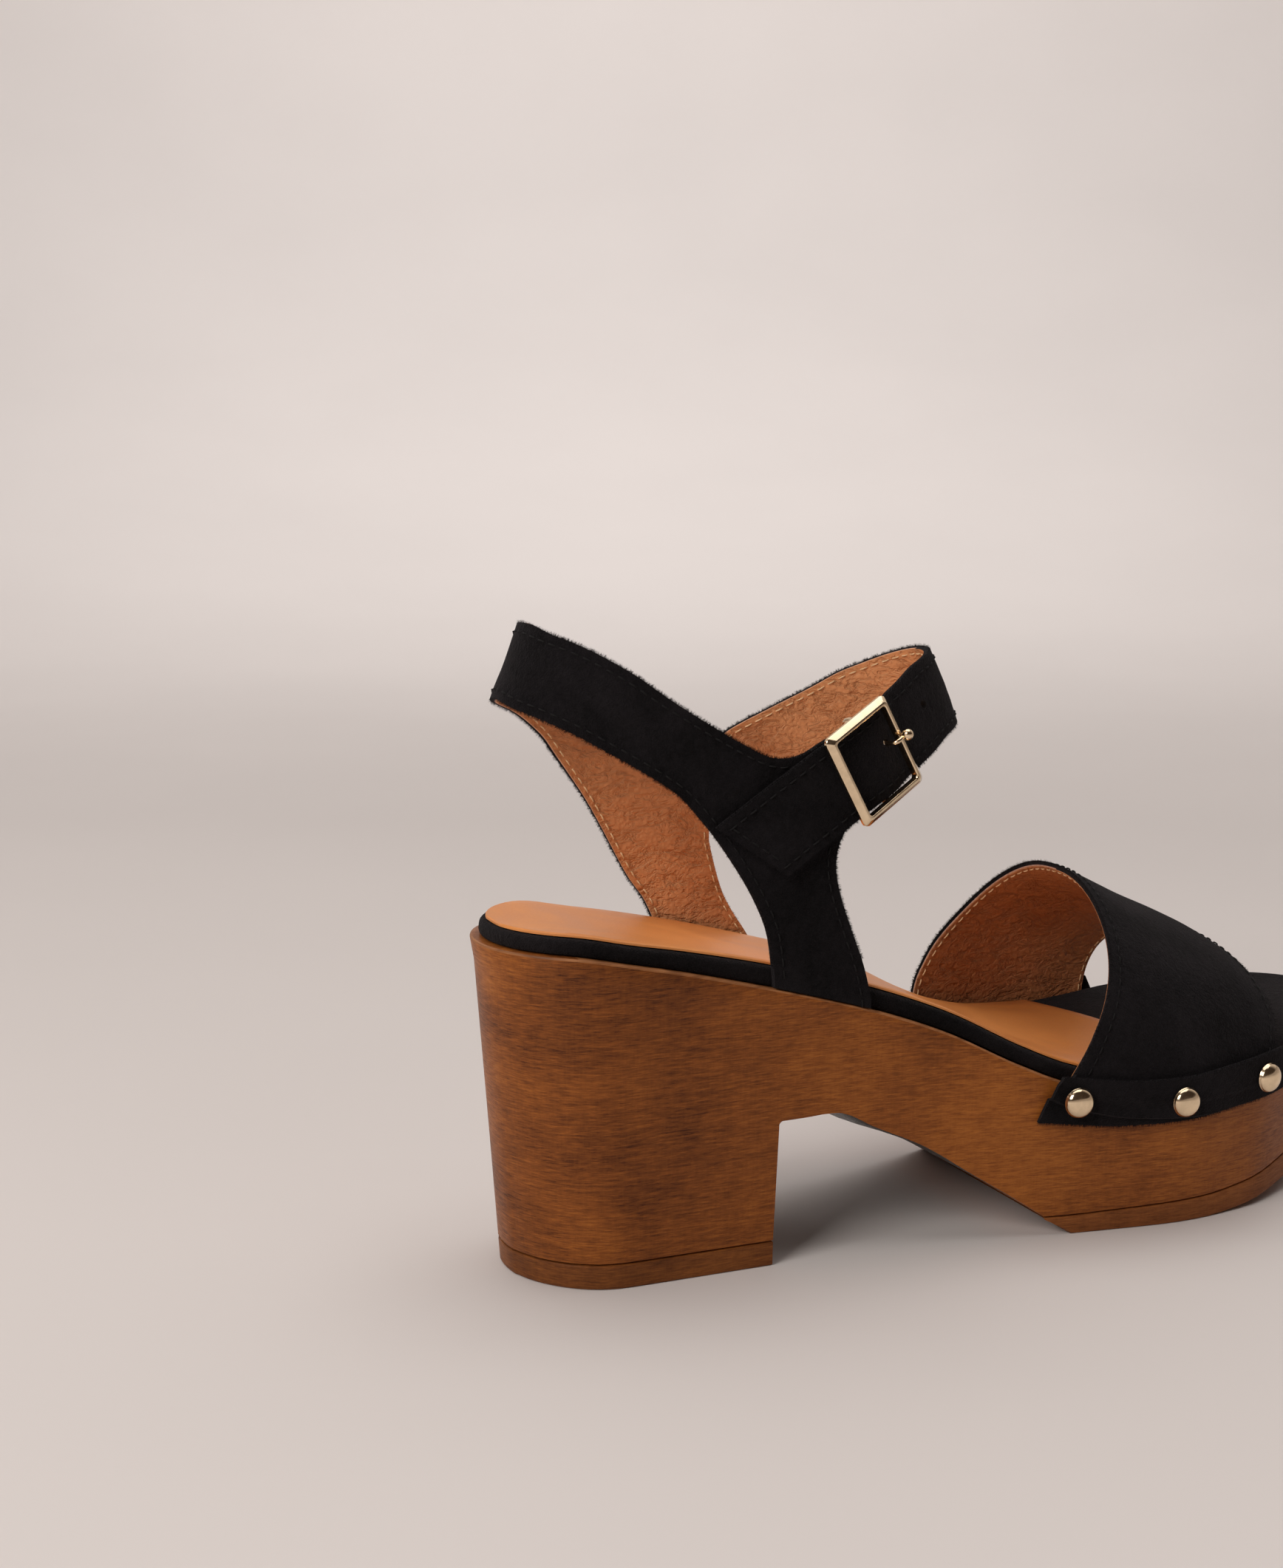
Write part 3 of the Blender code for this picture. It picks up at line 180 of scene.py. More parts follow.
def inside(point: Vector, loop: list[Vector]) -> bool:
    """Whether a point lies inside a closed loop.

    Args:
        point: the point.
        loop: corners of the loop.

    Returns:
        Whether it is inside.
    """
    hit = False
    for i, a in enumerate(loop):
        b = loop[i - 1]
        if (a.y > point.y) != (b.y > point.y):
            if point.x < (b.x - a.x) * (point.y - a.y) / (b.y - a.y) + a.x:
                hit = not hit
    return hit


def new_piece(name: str, mesh: bmesh.types.BMesh, finishes: list[bpy.types.Material],
              smooth: float = 30.0) -> bpy.types.Object:
    """Object from a mesh, riding on the sandal.

    Args:
        name: name of the piece.
        mesh: its mesh, which is freed.
        finishes: its materials, in slot order.
        smooth: angle in degrees under which faces are shaded as one.

    Returns:
        The piece.
    """
    data = bpy.data.meshes.new(name)
    mesh.to_mesh(data)
    mesh.free()
    data.shade_smooth()
    data.set_sharp_from_angle(angle=math.radians(smooth))
    piece = bpy.data.objects.new(name, data)
    bpy.context.scene.collection.objects.link(piece)
    for finish in finishes:
        data.materials.append(finish)
    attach(piece, "root")
    return piece


def face_outwards(mesh: bmesh.types.BMesh) -> None:
    """Turns the faces of a closed mesh outwards.

    Args:
        mesh: the mesh.
    """
    bmesh.ops.recalc_face_normals(mesh, faces=mesh.faces)
    if mesh.calc_volume(signed=True) < 0.0:
        bmesh.ops.reverse_faces(mesh, faces=mesh.faces)


def round_edges(piece: bpy.types.Object, width: float, segments: int = 2, angle: float = 40.0) -> None:
    """Rounds a piece's sharp edges.

    Args:
        piece: the piece.
        width: width of the round.
        segments: faces across it.
        angle: least angle in degrees that is rounded.
    """
    bevel = piece.modifiers.new("rounded_edges", "BEVEL")
    bevel.width = width
    bevel.segments = segments
    bevel.limit_method = "ANGLE"
    bevel.angle_limit = math.radians(angle)
    bevel.harden_normals = False


class Graph:
    """Node tree of one material."""

    def __init__(self, name: str) -> None:
        """Starts a Principled material.

        Args:
            name: name of the material.
        """
        self.material = bpy.data.materials.new(name)
        self.material.use_nodes = True
        self.tree = self.material.node_tree
        self.shader = self.tree.nodes["Principled BSDF"]
        self.place = self.add("ShaderNodeTexCoord").outputs["Object"]

    def add(self, kind: str, **settings: object) -> bpy.types.Node:
        """New node with its settings.

        Args:
            kind: Blender's name of it.
            settings: values of its fields.

        Returns:
            The node.
        """
        node = self.tree.nodes.new(kind)
        for key, value in settings.items():
            setattr(node, key, value)
        return node

    def join(self, start: bpy.types.NodeSocket, end: bpy.types.NodeSocket) -> None:
        """Link between two sockets."""
        self.tree.links.new(start, end)

    def put(self, name: str, value: object) -> None:
        """Sets one of the shader's own values."""
        self.shader.inputs[name].default_value = value

    def feed(self, name: str, socket: bpy.types.NodeSocket) -> None:
        """Links a socket to one of the shader's inputs."""
        self.join(socket, self.shader.inputs[name])

    def stretched(self, scale: Colour) -> bpy.types.NodeSocket:
        """Coordinates stretched along the axes.

        Args:
            scale: scale along each axis.

        Returns:
            The coordinates.
        """
        node = self.add("ShaderNodeMapping")
        node.inputs["Scale"].default_value = scale
        self.join(self.place, node.inputs["Vector"])
        return node.outputs["Vector"]

    def noise(self, scale: float, detail: float = 3.0, rough: float = 0.55, bend: float = 0.0,
              stretch: Colour | None = None) -> bpy.types.NodeSocket:
        """Noise as a value from 0 to 1.

        Args:
            scale: noise cells per metre.
            detail: finer layers.
            rough: strength of the finer layers.
            bend: distortion.
            stretch: scale along each axis before the noise.

        Returns:
            The noise's value.
        """
        node = self.add("ShaderNodeTexNoise")
        node.inputs["Scale"].default_value = scale
        node.inputs["Detail"].default_value = detail
        node.inputs["Roughness"].default_value = rough
        node.inputs["Distortion"].default_value = bend
        self.join(self.stretched(stretch) if stretch else self.place, node.inputs["Vector"])
        return node.outputs["Fac"]

    def cells(self, scale: float, stretch: Colour | None = None) -> bpy.types.NodeSocket:
        """Distance to the nearest of scattered points, for leather grain.

        Args:
            scale: cells per metre.
            stretch: scale along each axis first.

        Returns:
            The distance.
        """
        node = self.add("ShaderNodeTexVoronoi", feature="SMOOTH_F1")
        node.inputs["Scale"].default_value = scale
        node.inputs["Smoothness"].default_value = 0.35
        self.join(self.stretched(stretch) if stretch else self.place, node.inputs["Vector"])
        return node.outputs["Distance"]

    def remap(self, value: bpy.types.NodeSocket, low: float, high: float, start: float = 0.0,
              end: float = 1.0) -> bpy.types.NodeSocket:
        """Value from low to high brought to start to end.

        Args:
            value: the value.
            low: its least.
            high: its most.
            start: result at the least.
            end: result at the most.

        Returns:
            The result.
        """
        node = self.add("ShaderNodeMapRange")
        for name, number in (("From Min", low), ("From Max", high), ("To Min", start), ("To Max", end)):
            node.inputs[name].default_value = number
        self.join(value, node.inputs["Value"])
        return node.outputs["Result"]

    def tones(self, value: bpy.types.NodeSocket,
              stops: tuple[tuple[float, Colour], ...]) -> bpy.types.NodeSocket:
        """Colours along a value.

        Args:
            value: the value.
            stops: places and their colours.

        Returns:
            The colour.
        """
        node = self.add("ShaderNodeValToRGB")
        band = node.color_ramp
        while len(band.elements) < len(stops):
            band.elements.new(0.5)
        for element, (place, colour) in zip(band.elements, stops):
            element.position = place
            element.color = (*colour, 1.0)
        self.join(value, node.inputs["Fac"])
        return node.outputs["Color"]

    def sum_of(self, first: bpy.types.NodeSocket, second: bpy.types.NodeSocket,
               weight: float) -> bpy.types.NodeSocket:
        """First value plus a weighted second one.

        Args:
            first: first value.
            second: second value.
            weight: share of the second.

        Returns:
            The sum.
        """
        node = self.add("ShaderNodeMath", operation="MULTIPLY_ADD")
        self.join(second, node.inputs[0])
        node.inputs[1].default_value = weight
        self.join(first, node.inputs[2])
        return node.outputs[0]

    def relief(self, height: bpy.types.NodeSocket, depth: float, strength: float = 1.0) -> None:
        """Raises the surface by a height map.

        Args:
            height: height from 0 to 1.
            depth: metres between 0 and 1.
            strength: share of the effect.
        """
        node = self.add("ShaderNodeBump")
        node.inputs["Distance"].default_value = depth
        node.inputs["Strength"].default_value = strength
        self.join(height, node.inputs["Height"])
        self.feed("Normal", node.outputs["Normal"])


@dataclass(frozen=True)
class Suede:
    """Napped suede."""

    name: str
    deep: Colour = (0.0022, 0.0018, 0.0020)
    lit: Colour = (0.0150, 0.0128, 0.0145)
    sheen: float = 0.045

    def dress(self) -> bpy.types.Material:
        """Suede with brushed patches, a short nap and a faint sheen.

        Returns:
            The material.
        """
        g = Graph(self.name)
        patches = g.noise(34.0, 4.0, 0.6, 0.6)
        nap = g.noise(2600.0, 2.0, 0.7)
        tuft = g.noise(720.0, 3.0, 0.6)
        mixed = g.sum_of(g.remap(patches, 0.36, 0.68, -0.02, 0.52), g.remap(nap, 0.3, 0.7), 0.26)
        mixed = g.sum_of(mixed, g.remap(tuft, 0.3, 0.7), 0.24)
        g.feed("Base Color", g.tones(mixed, ((0.15, self.deep), (0.95, self.lit))))
        g.put("Roughness", 0.96)
        g.put("Specular IOR Level", 0.12)
        g.put("Sheen Weight", self.sheen)
        g.put("Sheen Roughness", 0.42)
        g.put("Sheen Tint", (0.86, 0.78, 0.84, 1.0))
        g.relief(g.sum_of(nap, tuft, 1.1), 0.00055, 0.9)
        return g.material


@dataclass(frozen=True)
class Lining:
    """Grained tan lining leather, creased where it bends."""

    name: str
    deep: Colour = (0.53, 0.208, 0.078)
    lit: Colour = (0.88, 0.425, 0.188)

    def dress(self) -> bpy.types.Material:
        """Tan leather with pores, fine grain and soft creases.

        Returns:
            The material.
        """
        g = Graph(self.name)
        grain = g.cells(900.0)
        creases = g.noise(150.0, 5.0, 0.62, 1.6, (0.55, 1.0, 1.0))
        patches = g.noise(38.0, 3.0, 0.5)
        mixed = g.sum_of(g.sum_of(g.remap(patches, 0.3, 0.7, 0.22, 0.60), creases, 0.30), grain, -0.22)
        g.feed("Base Color", g.tones(mixed, ((0.1, self.deep), (0.95, self.lit))))
        g.feed("Roughness", g.remap(creases, 0.3, 0.7, 0.50, 0.64))
        g.put("Specular IOR Level", 0.36)
        wrinkles = g.noise(330.0, 3.0, 0.6, 1.2, (0.8, 0.8, 1.5))
        ridges = g.sum_of(g.remap(creases, 0.36, 0.50), g.remap(wrinkles, 0.38, 0.52), 0.55)
        g.relief(g.sum_of(ridges, grain, 0.4), 0.00062, 0.85)
        return g.material


@dataclass(frozen=True)
class SockLeather:
    """Smooth tan leather of the sock."""

    name: str
    deep: Colour = (0.63, 0.222, 0.057)
    lit: Colour = (0.86, 0.345, 0.092)

    def dress(self) -> bpy.types.Material:
        """Smooth leather with a soft sheen, a little cloudy.

        Returns:
            The material.
        """
        g = Graph(self.name)
        clouds = g.noise(30.0, 5.0, 0.55, 0.8)
        grain = g.cells(1300.0)
        g.feed("Base Color", g.tones(g.sum_of(g.remap(clouds, 0.3, 0.7, 0.15, 0.85), grain, -0.12),
                                     ((0.05, self.deep), (0.95, self.lit))))
        g.feed("Roughness", g.remap(clouds, 0.3, 0.7, 0.40, 0.52))
        g.put("Specular IOR Level", 0.42)
        g.relief(g.sum_of(clouds, grain, 0.3), 0.00022, 0.5)
        return g.material


@dataclass(frozen=True)
class StainedWood:
    """Wood stained warm brown, with its fine streaks lying along the foot."""

    name: str
    dark: Colour = (0.062, 0.0165, 0.0042)
    middle: Colour = (0.234, 0.0690, 0.0130)
    warm: Colour = (0.440, 0.145, 0.0250)
    rough: float = 0.40

    def dress(self) -> bpy.types.Material:
        """Fine streaks over soft blotches, under a satin lacquer.

        Returns:
            The material.
        """
        g = Graph(self.name)
        blotches = g.noise(17.0, 3.5, 0.55, 0.5)
        clouds = g.noise(46.0, 4.0, 0.6, 0.8, (0.55, 0.55, 1.0))
        streaks = g.noise(1.0, 4.0, 0.74, 0.10, (260.0, 260.0, 2900.0))
        grain = g.noise(1.0, 4.0, 0.66, 0.20, (110.0, 110.0, 1150.0))
        strokes = g.noise(1.0, 3.0, 0.6, 0.0, (1500.0, 1500.0, 190.0))
        mixed = g.sum_of(g.remap(blotches, 0.32, 0.68, 0.06, 0.52), clouds, 0.40)
        mixed = g.sum_of(mixed, g.remap(streaks, 0.32, 0.68, -0.5, 0.5), 0.50)
        mixed = g.sum_of(mixed, g.remap(grain, 0.3, 0.7, -0.5, 0.5), 0.26)
        mixed = g.sum_of(mixed, g.remap(strokes, 0.3, 0.7, -0.5, 0.5), 0.08)
        g.feed("Base Color", g.tones(mixed, ((0.04, self.dark), (0.50, self.middle), (1.0, self.warm))))
        g.feed("Roughness", g.remap(streaks, 0.3, 0.7, self.rough + 0.07, self.rough - 0.05))
        g.put("Specular IOR Level", 0.17)
        g.relief(g.sum_of(g.sum_of(streaks, strokes, 0.35), grain, 0.4), 0.00012, 0.55)
        return g.material


@dataclass(frozen=True)
class Polished:
    """Polished metal with fine rubbing marks."""

    name: str
    colour: Colour = (0.86, 0.68, 0.46)
    rough: float = 0.13

    def dress(self) -> bpy.types.Material:
        """Pale gold metal.

        Returns:
            The material.
        """
        g = Graph(self.name)
        wear = g.noise(420.0, 4.0, 0.6)
        dim = tuple(0.86 * value for value in self.colour)
        g.feed("Base Color", g.tones(wear, ((0.35, dim), (0.62, self.colour))))
        g.feed("Roughness", g.remap(wear, 0.3, 0.7, self.rough - 0.03, self.rough + 0.07))
        g.put("Metallic", 1.0)
        g.relief(wear, 0.000012, 0.4)
        return g.material


@dataclass(frozen=True)
class Fibre:
    """Cut leather edge, thread or painted underside: one tone, broken up finely."""

    name: str
    dark: Colour
    light: Colour
    scale: float = 1500.0
    rough: float = 0.75
    depth: float = 0.00012
    stretch: Colour | None = None

    def dress(self) -> bpy.types.Material:
        """Two tones in a fine noise, with a low relief.

        Returns:
            The material.
        """
        g = Graph(self.name)
        fine = g.noise(self.scale, 3.0, 0.6, 0.2, self.stretch)
        g.feed("Base Color", g.tones(fine, ((0.32, self.dark), (0.68, self.light))))
        g.feed("Roughness", g.remap(fine, 0.3, 0.7, self.rough - 0.06, self.rough + 0.06))
        g.put("Specular IOR Level", 0.3)
        g.relief(fine, self.depth, 0.6)
        return g.material


class Stock:
    """The finishes of the sandal, made once each."""

    def __init__(self) -> None:
        """Makes every finish."""
        self.suede = Suede("black_suede").dress()
        self.footbed_suede = Suede("footbed_suede", lit=(0.014, 0.0115, 0.0125), sheen=0.05).dress()
        self.lining = Lining("tan_lining").dress()
        self.vamp_lining = Lining("tan_vamp_lining", (0.36, 0.130, 0.045), (0.70, 0.310, 0.130)).dress()
        self.sock = SockLeather("tan_sock_leather").dress()
        self.wood = StainedWood("stained_wood").dress()
        self.lift = StainedWood("top_lift_wood", (0.050, 0.0150, 0.0045), (0.165, 0.052, 0.0120),
                                (0.300, 0.102, 0.0220), 0.46).dress()
        self.tread = StainedWood("brown_tread", (0.070, 0.0210, 0.0065), (0.205, 0.066, 0.0175),
                                 (0.340, 0.118, 0.0300), 0.52).dress()
        # lighter tone for the rounded top rim of the wood
        self.rim = Fibre("lighter_wood_rim", (0.17, 0.060, 0.018), (0.40, 0.165, 0.060), 1.0, 0.5, 0.00008,
                         (80.0, 80.0, 900.0)).dress()
        self.underside = Fibre("painted_underside", (0.018, 0.015, 0.014), (0.040, 0.034, 0.032), 260.0,
                               0.30, 0.00005).dress()
        self.cut = Fibre("cut_leather_edge", (0.34, 0.165, 0.115), (0.62, 0.37, 0.27)).dress()
        self.black_thread = Fibre("black_thread", (0.0022, 0.0018, 0.002), (0.0065, 0.0055, 0.006), 2600.0,
                                  0.8).dress()
        self.gold_thread = Fibre("gold_thread", (0.66, 0.40, 0.18), (0.95, 0.72, 0.44), 2600.0, 0.5).dress()
        self.metal = Polished("pale_gold").dress()
        self.dark_hole = Fibre("hole_wall", (0.004, 0.003, 0.003), (0.012, 0.009, 0.008)).dress()


@dataclass(frozen=True)
class WoodForm:
    """Form of the wood: its outline, top line, walls and underside."""

    length: float = 0.2545
    heel_reach: float = 0.0370
    ball_width: float = 0.0855
    heel_seat: float = 0.0805
    platform: float = 0.0338
    toe_rise: float = 0.0067
    heel_block: float = 0.0580
    heel_lean: float = 0.0066
    heel_flare: float = 0.0031
    forefoot_flare: float = 0.0015
    breast_lean: float = 0.0008
    breast_fillet: float = 0.0012
    arch: float = 0.0360
    keel: float = 0.0040
    top_lift: float = 0.0060
    tread: float = 0.0047
    tread_toe: float = 0.0080
    tread_back: float = 0.1070
    rocker: float = 0.1450
    toe_spring: float = 0.0135
    heel_round: float = 0.106
    toe_round: float = 0.226
    plan: Table = ((0.000, 0.000, 0.640), (0.106, 0.000, 0.633), (0.224, 0.007, 0.637), (0.322, 0.019, 0.648),
                   (0.420, 0.042, 0.706), (0.507, 0.068, 0.821), (0.597, 0.092, 0.933), (0.695, 0.102, 1.000),
                   (0.774, 0.125, 0.966), (0.833, 0.167, 0.903), (0.892, 0.233, 0.854), (0.951, 0.305, 0.772),
                   (1.000, 0.364, 0.678))
    seat_drop: Table = ((0.000, 1.000), (0.055, 0.989), (0.134, 0.911), (0.220, 0.798), (0.306, 0.670),
                        (0.369, 0.564), (0.436, 0.425), (0.511, 0.222), (0.566, 0.098), (0.625, 0.025),
                        (0.695, 0.000), (1.000, 0.000))
    toe_line: Table = ((0.000, 0.000), (0.695, 0.000), (0.755, 0.180), (0.813, 0.480), (0.892, 0.800),
                       (1.000, 1.000))
    shank: Table = ((0.000, 1.000), (0.080, 1.004), (0.150, 1.013), (0.190, 1.010), (0.230, 0.984),
                    (0.310, 0.890), (0.415, 0.790), (0.490, 0.712), (0.663, 0.472), (0.832, 0.244),
                    (1.000, 0.000))

    def share_at(self, x: float) -> float:
        """Share of the length at a place along the foot."""
        return (x + self.heel_reach) / self.length

    def place_at(self, share: float) -> float:
        """Place along the foot at a share of the length."""
        return share * self.length - self.heel_reach

    def end_round(self, share: float) -> float:
        """Narrowing of the outline towards both ends, 0 at each end.

        Args:
            share: share of the length.

        Returns:
            Share of the full width.
        """
        heel = max(0.0, 1.0 - share / self.heel_round)
        toe = max(0.0, (share - 1.0 + self.toe_round) / self.toe_round)
        return math.sqrt(max(0.0, 1.0 - heel * heel)) * math.sqrt(max(0.0, 1.0 - toe * toe))

    def outline(self, share: float, side: int) -> Vector:
        """Point of the top outline, in plan.

        Args:
            share: share of the length.
            side: -1 on the outer side, 1 on the inner side.

        Returns:
            The point.
        """
        half = self.ball_width / 2.0
        width = read(self.plan, 2, share) * half * self.end_round(share)
        return Vector((self.place_at(share), read(self.plan, 1, share) * half + side * width))

    def outward(self, share: float, side: int) -> Vector:
        """Unit normal of the top outline, in plan.

        Args:
            share: share of the length.
            side: -1 on the outer side, 1 on the inner side.

        Returns:
            The normal.
        """
        step = 0.002
        if share < step:
            return Vector((-1.0, 0.0))
        if share > 1.0 - step:
            return Vector((1.0, 0.0))
        along = self.outline(share + step, side) - self.outline(share - step, side)
        along.normalize()
        return Vector((-side * along.y, side * along.x))

    def top(self, share: float) -> float:
        """Height of the wood's top."""
        drop = (self.heel_seat - self.platform) * read(self.seat_drop, 1, share)
        return self.platform + drop + self.toe_rise * read(self.toe_line, 1, share)

    def wall(self, share: float, side: int, z: float, out: float = 0.0) -> Vector:
        """Point on the side wall.

        Args:
            share: share of the length.
            side: -1 on the outer side, 1 on the inner side.
            z: height.
            out: how far the point is moved outwards.

        Returns:
            The point.
        """
        taper = max(0.0, 1.0 - max(z, 0.0) / self.top(share))
        lip = 0.14 * ramp(taper, 0.0, 0.07) + 0.86 * max(0.0, taper - 0.07) / 0.93
        sides = self.heel_flare + (self.forefoot_flare - self.heel_flare) * ramp(share, 0.26, 0.42)
        back = (self.heel_lean - self.heel_flare) * (1.0 - ramp(share, 0.0, self.heel_round * 1.15))
        flat = self.outline(share, side) + self.outward(share, side) * (out - lip * (sides + back))
        return Vector((flat.x, flat.y, z))

    def floor(self, share: float) -> float:
        """Underside of the tread."""
        run = max(0.0, self.place_at(share) - self.rocker) / (self.place_at(1.0) - self.rocker)
        return self.toe_spring * run ** 1.6

    def joint(self, share: float) -> float:
        """Joint between tread and wood."""
        run = max(0.0, self.place_at(share) - self.tread_back) / (self.place_at(1.0) - self.tread_back)
        return self.floor(share) + self.tread + (self.tread_toe - self.tread) * run

    @property
    def heel_end(self) -> float:
        """Share of the length where the heel's round has run out."""
        return self.heel_round * 1.2

    @property
    def breast(self) -> float:
        """Front face of the heel block."""
        return self.heel_block / 2.0

    def arch_at(self, share: float) -> float:
        """Underside of the shank, in front of the breast fillet."""
        start = self.breast + self.breast_lean + self.breast_fillet
        return self.arch * read(self.shank, 1, (self.place_at(share) - start) / (self.tread_back - start))

    def toe_shares(self, start: float, count: int) -> list[float]:
        """Shares from start to the toe tip, closing up towards the tip."""
        return [start + (1.0 - start) * math.sin(math.pi / 2.0 * i / count) for i in range(count + 1)]

    def heel_shares(self, end: float, count: int) -> list[float]:
        """Shares from the heel's back to end, closing up towards the back."""
        return [end * (1.0 - math.cos(math.pi / 2.0 * i / count)) for i in range(count + 1)]

    def inset(self, share: float, side: int, inset: float, z: float) -> Vector:
        """Point inside the top outline."""
        flat = self.outline(share, side) - self.outward(share, side) * inset
        return Vector((flat.x, flat.y, z))


Ring = tuple[list[Vector], list[Vector], list[Vector], list[Vector]]


@dataclass
class WoodenSole:
    """Wooden sole with its top lift and its tread."""

    form: WoodForm
    stock: Stock
    rim: float = 0.0005
    columns: int = 10
    levels: int = 14
    heel_rings: int = 18
    block_rings: int = 8
    arch_rings: int = 27
    toe_rings: int = 34

    def across(self, low: Vector, high: Vector, sag: float = 0.0) -> list[Vector]:
        """Row of points from low to high, its middle lowered by sag.

        Args:
            low: first end.
            high: other end.
            sag: drop of the middle.

        Returns:
            The row.
        """
        row: list[Vector] = []
        for i in range(self.columns + 1):
            t = i / self.columns
            point = low.lerp(high, t)
            point.z -= sag * (1.0 - (2.0 * t - 1.0) ** 2)
            row.append(point)
        return row

    def section(self, share: float, bottom: float, top: float, keel: float = 0.0,
                top_round: float = 0.0, foot_round: float = 0.00035) -> Ring:
        """Cross section between two heights, its edges rounded.

        Args:
            share: share of the length.
            bottom: lower height.
            top: upper height.
            keel: how much lower the underside's middle hangs.
            top_round: round of the upper edge.
            foot_round: round of the lower edge.

        Returns:
            Lower row, inner wall, upper row and outer wall.
        """
        low, high = bottom + foot_round, top - top_round
        marks = [(bottom, -foot_round), (bottom + 0.3 * foot_round, -0.3 * foot_round), (low, 0.0)]
        marks += [(low + (high - low) * i / self.levels, 0.0) for i in range(1, self.levels)]
        marks += [(high, 0.0)]
        if top_round > 0.0:
            marks += [(top - 0.3 * top_round, -0.3 * top_round), (top, -top_round)]
        inner = [self.form.wall(share, 1, z, out) for z, out in marks]
        outer = [self.form.wall(share, -1, z, out) for z, out in marks]
        return (self.across(outer[0], inner[0], keel), inner[1:-1], self.across(inner[-1], outer[-1]),
                outer[1:-1][::-1])

    def solid(self, name: str, rings: list[Ring], caps: tuple[bool, bool],
              finishes: list[bpy.types.Material]) -> bpy.types.Object:
        """Closed piece through its cross sections.

        Args:
            name: name of the piece.
            rings: its cross sections.
            caps: whether its first and last section are closed by a face.
            finishes: its materials.

        Returns:
            The piece.
        """
        mesh = bmesh.new()
        loops = [[mesh.verts.new(p) for part in ring for p in part] for ring in rings]
        for a, b in zip(loops, loops[1:]):
            for i in range(len(a)):
                j = (i + 1) % len(a)
                mesh.faces.new((a[i], a[j], b[j], b[i]))
        for wanted, loop, ring in ((caps[0], loops[0], rings[0]), (caps[1], loops[-1], rings[-1])):
            if wanted:
                count = len(ring[0])
                start = count + len(ring[1])
                low, high = loop[:count], loop[start:start + count][::-1]
                sides = [([low[-1]] + loop[count:start] + [high[-1]]),
                         ([high[0]] + loop[start + count:] + [low[0]])]
                for i in range(count - 1):
                    mesh.faces.new((low[i], low[i + 1], high[i + 1], high[i]))
                for side in sides:
                    if len(side) > 3:
                        mesh.faces.new(side)
        bmesh.ops.remove_doubles(mesh, verts=mesh.verts, dist=1e-6)
        bmesh.ops.dissolve_degenerate(mesh, edges=mesh.edges, dist=1e-7)
        face_outwards(mesh)
        return new_piece(name, mesh, finishes, 34.0)

    def build(self) -> None:
        """Wood, top lift and tread."""
        self.build_wood()
        self.build_lift()
        self.build_tread()

    def stations(self) -> tuple[list[tuple[float, float, float]], float]:
        """Cross sections of heel and shank.

        Returns:
            Rows of share, underside height and keel, and the share where the tread starts.
        """
        form = self.form
        seat = form.top_lift + GAP
        back = form.heel_end
        rows = [(share, seat, 0.0) for share in form.heel_shares(back, self.heel_rings)]
        front = form.share_at(form.breast)
        rows += [(back + (front - back) * i / self.block_rings, seat, 0.0)
                 for i in range(1, self.block_rings + 1)]
        for i in range(10):
            angle = math.pi * i / 18.0
            x = form.breast + form.breast_lean + form.breast_fillet * (1.0 - math.cos(angle))
            rows.append((form.share_at(x), form.arch - form.breast_fillet * (1.0 - math.sin(angle)), 1.0))
        start, end = rows[-1][0], form.share_at(form.tread_back)
        foot = form.joint(end) + GAP
        low, high = start, end
        for _ in range(40):
            middle = (low + high) / 2.0
            low, high = (middle, high) if form.arch_at(middle) > foot else (low, middle)
        for i in range(1, self.arch_rings):
            share = start + (high - start) * i / self.arch_rings
            run = (share - start) / (end - start)
            rows.append((share, form.arch_at(share), 1.0 - ramp(run, 0.1, 0.85)))
        rows.append((high, foot, 0.0))
        return rows, high

    def build_wood(self) -> None:
        """One-piece sole: block heel, shank and platform."""
        form = self.form
        rows, split = self.stations()
        rings = [self.section(share, bottom, form.top(share), form.keel * keel, self.rim)
                 for share, bottom, keel in rows]
        rings += [self.section(share, form.joint(share) + GAP, form.top(share), 0.0, self.rim)
                  for share in form.toe_shares(split, self.toe_rings)[1:]]
        stock = self.stock
        piece = self.solid("clog_wood", rings, (False, False), [stock.wood, stock.rim, stock.underside])
        for face in piece.data.polygons:
            top = form.top(form.share_at(face.center.x))
            # faces of the rounded top rim take the lighter rim tone
            if face.center.z > top - self.rim and abs(face.normal.z) < 0.995:
                face.material_index = 1
            elif (face.normal.z < -0.45 and face.center.z > 0.010
                  and face.center.x > form.breast + 0.001):
                face.material_index = 2
        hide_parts("sole")

    def build_lift(self) -> None:
        """Wear piece under the block heel."""
        form = self.form
        back = form.heel_end
        front = form.share_at(form.breast)
        shares = form.heel_shares(back, self.heel_rings)
        shares += [back + (front - back) * i / self.block_rings for i in range(1, self.block_rings + 1)]
        rings = [self.section(share, 0.0, form.top_lift, 0.0, 0.00035, 0.0006) for share in shares]
        piece = self.solid("heel_wear_lift", rings, (False, True), [self.stock.lift])
        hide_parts("heel_top_lift")

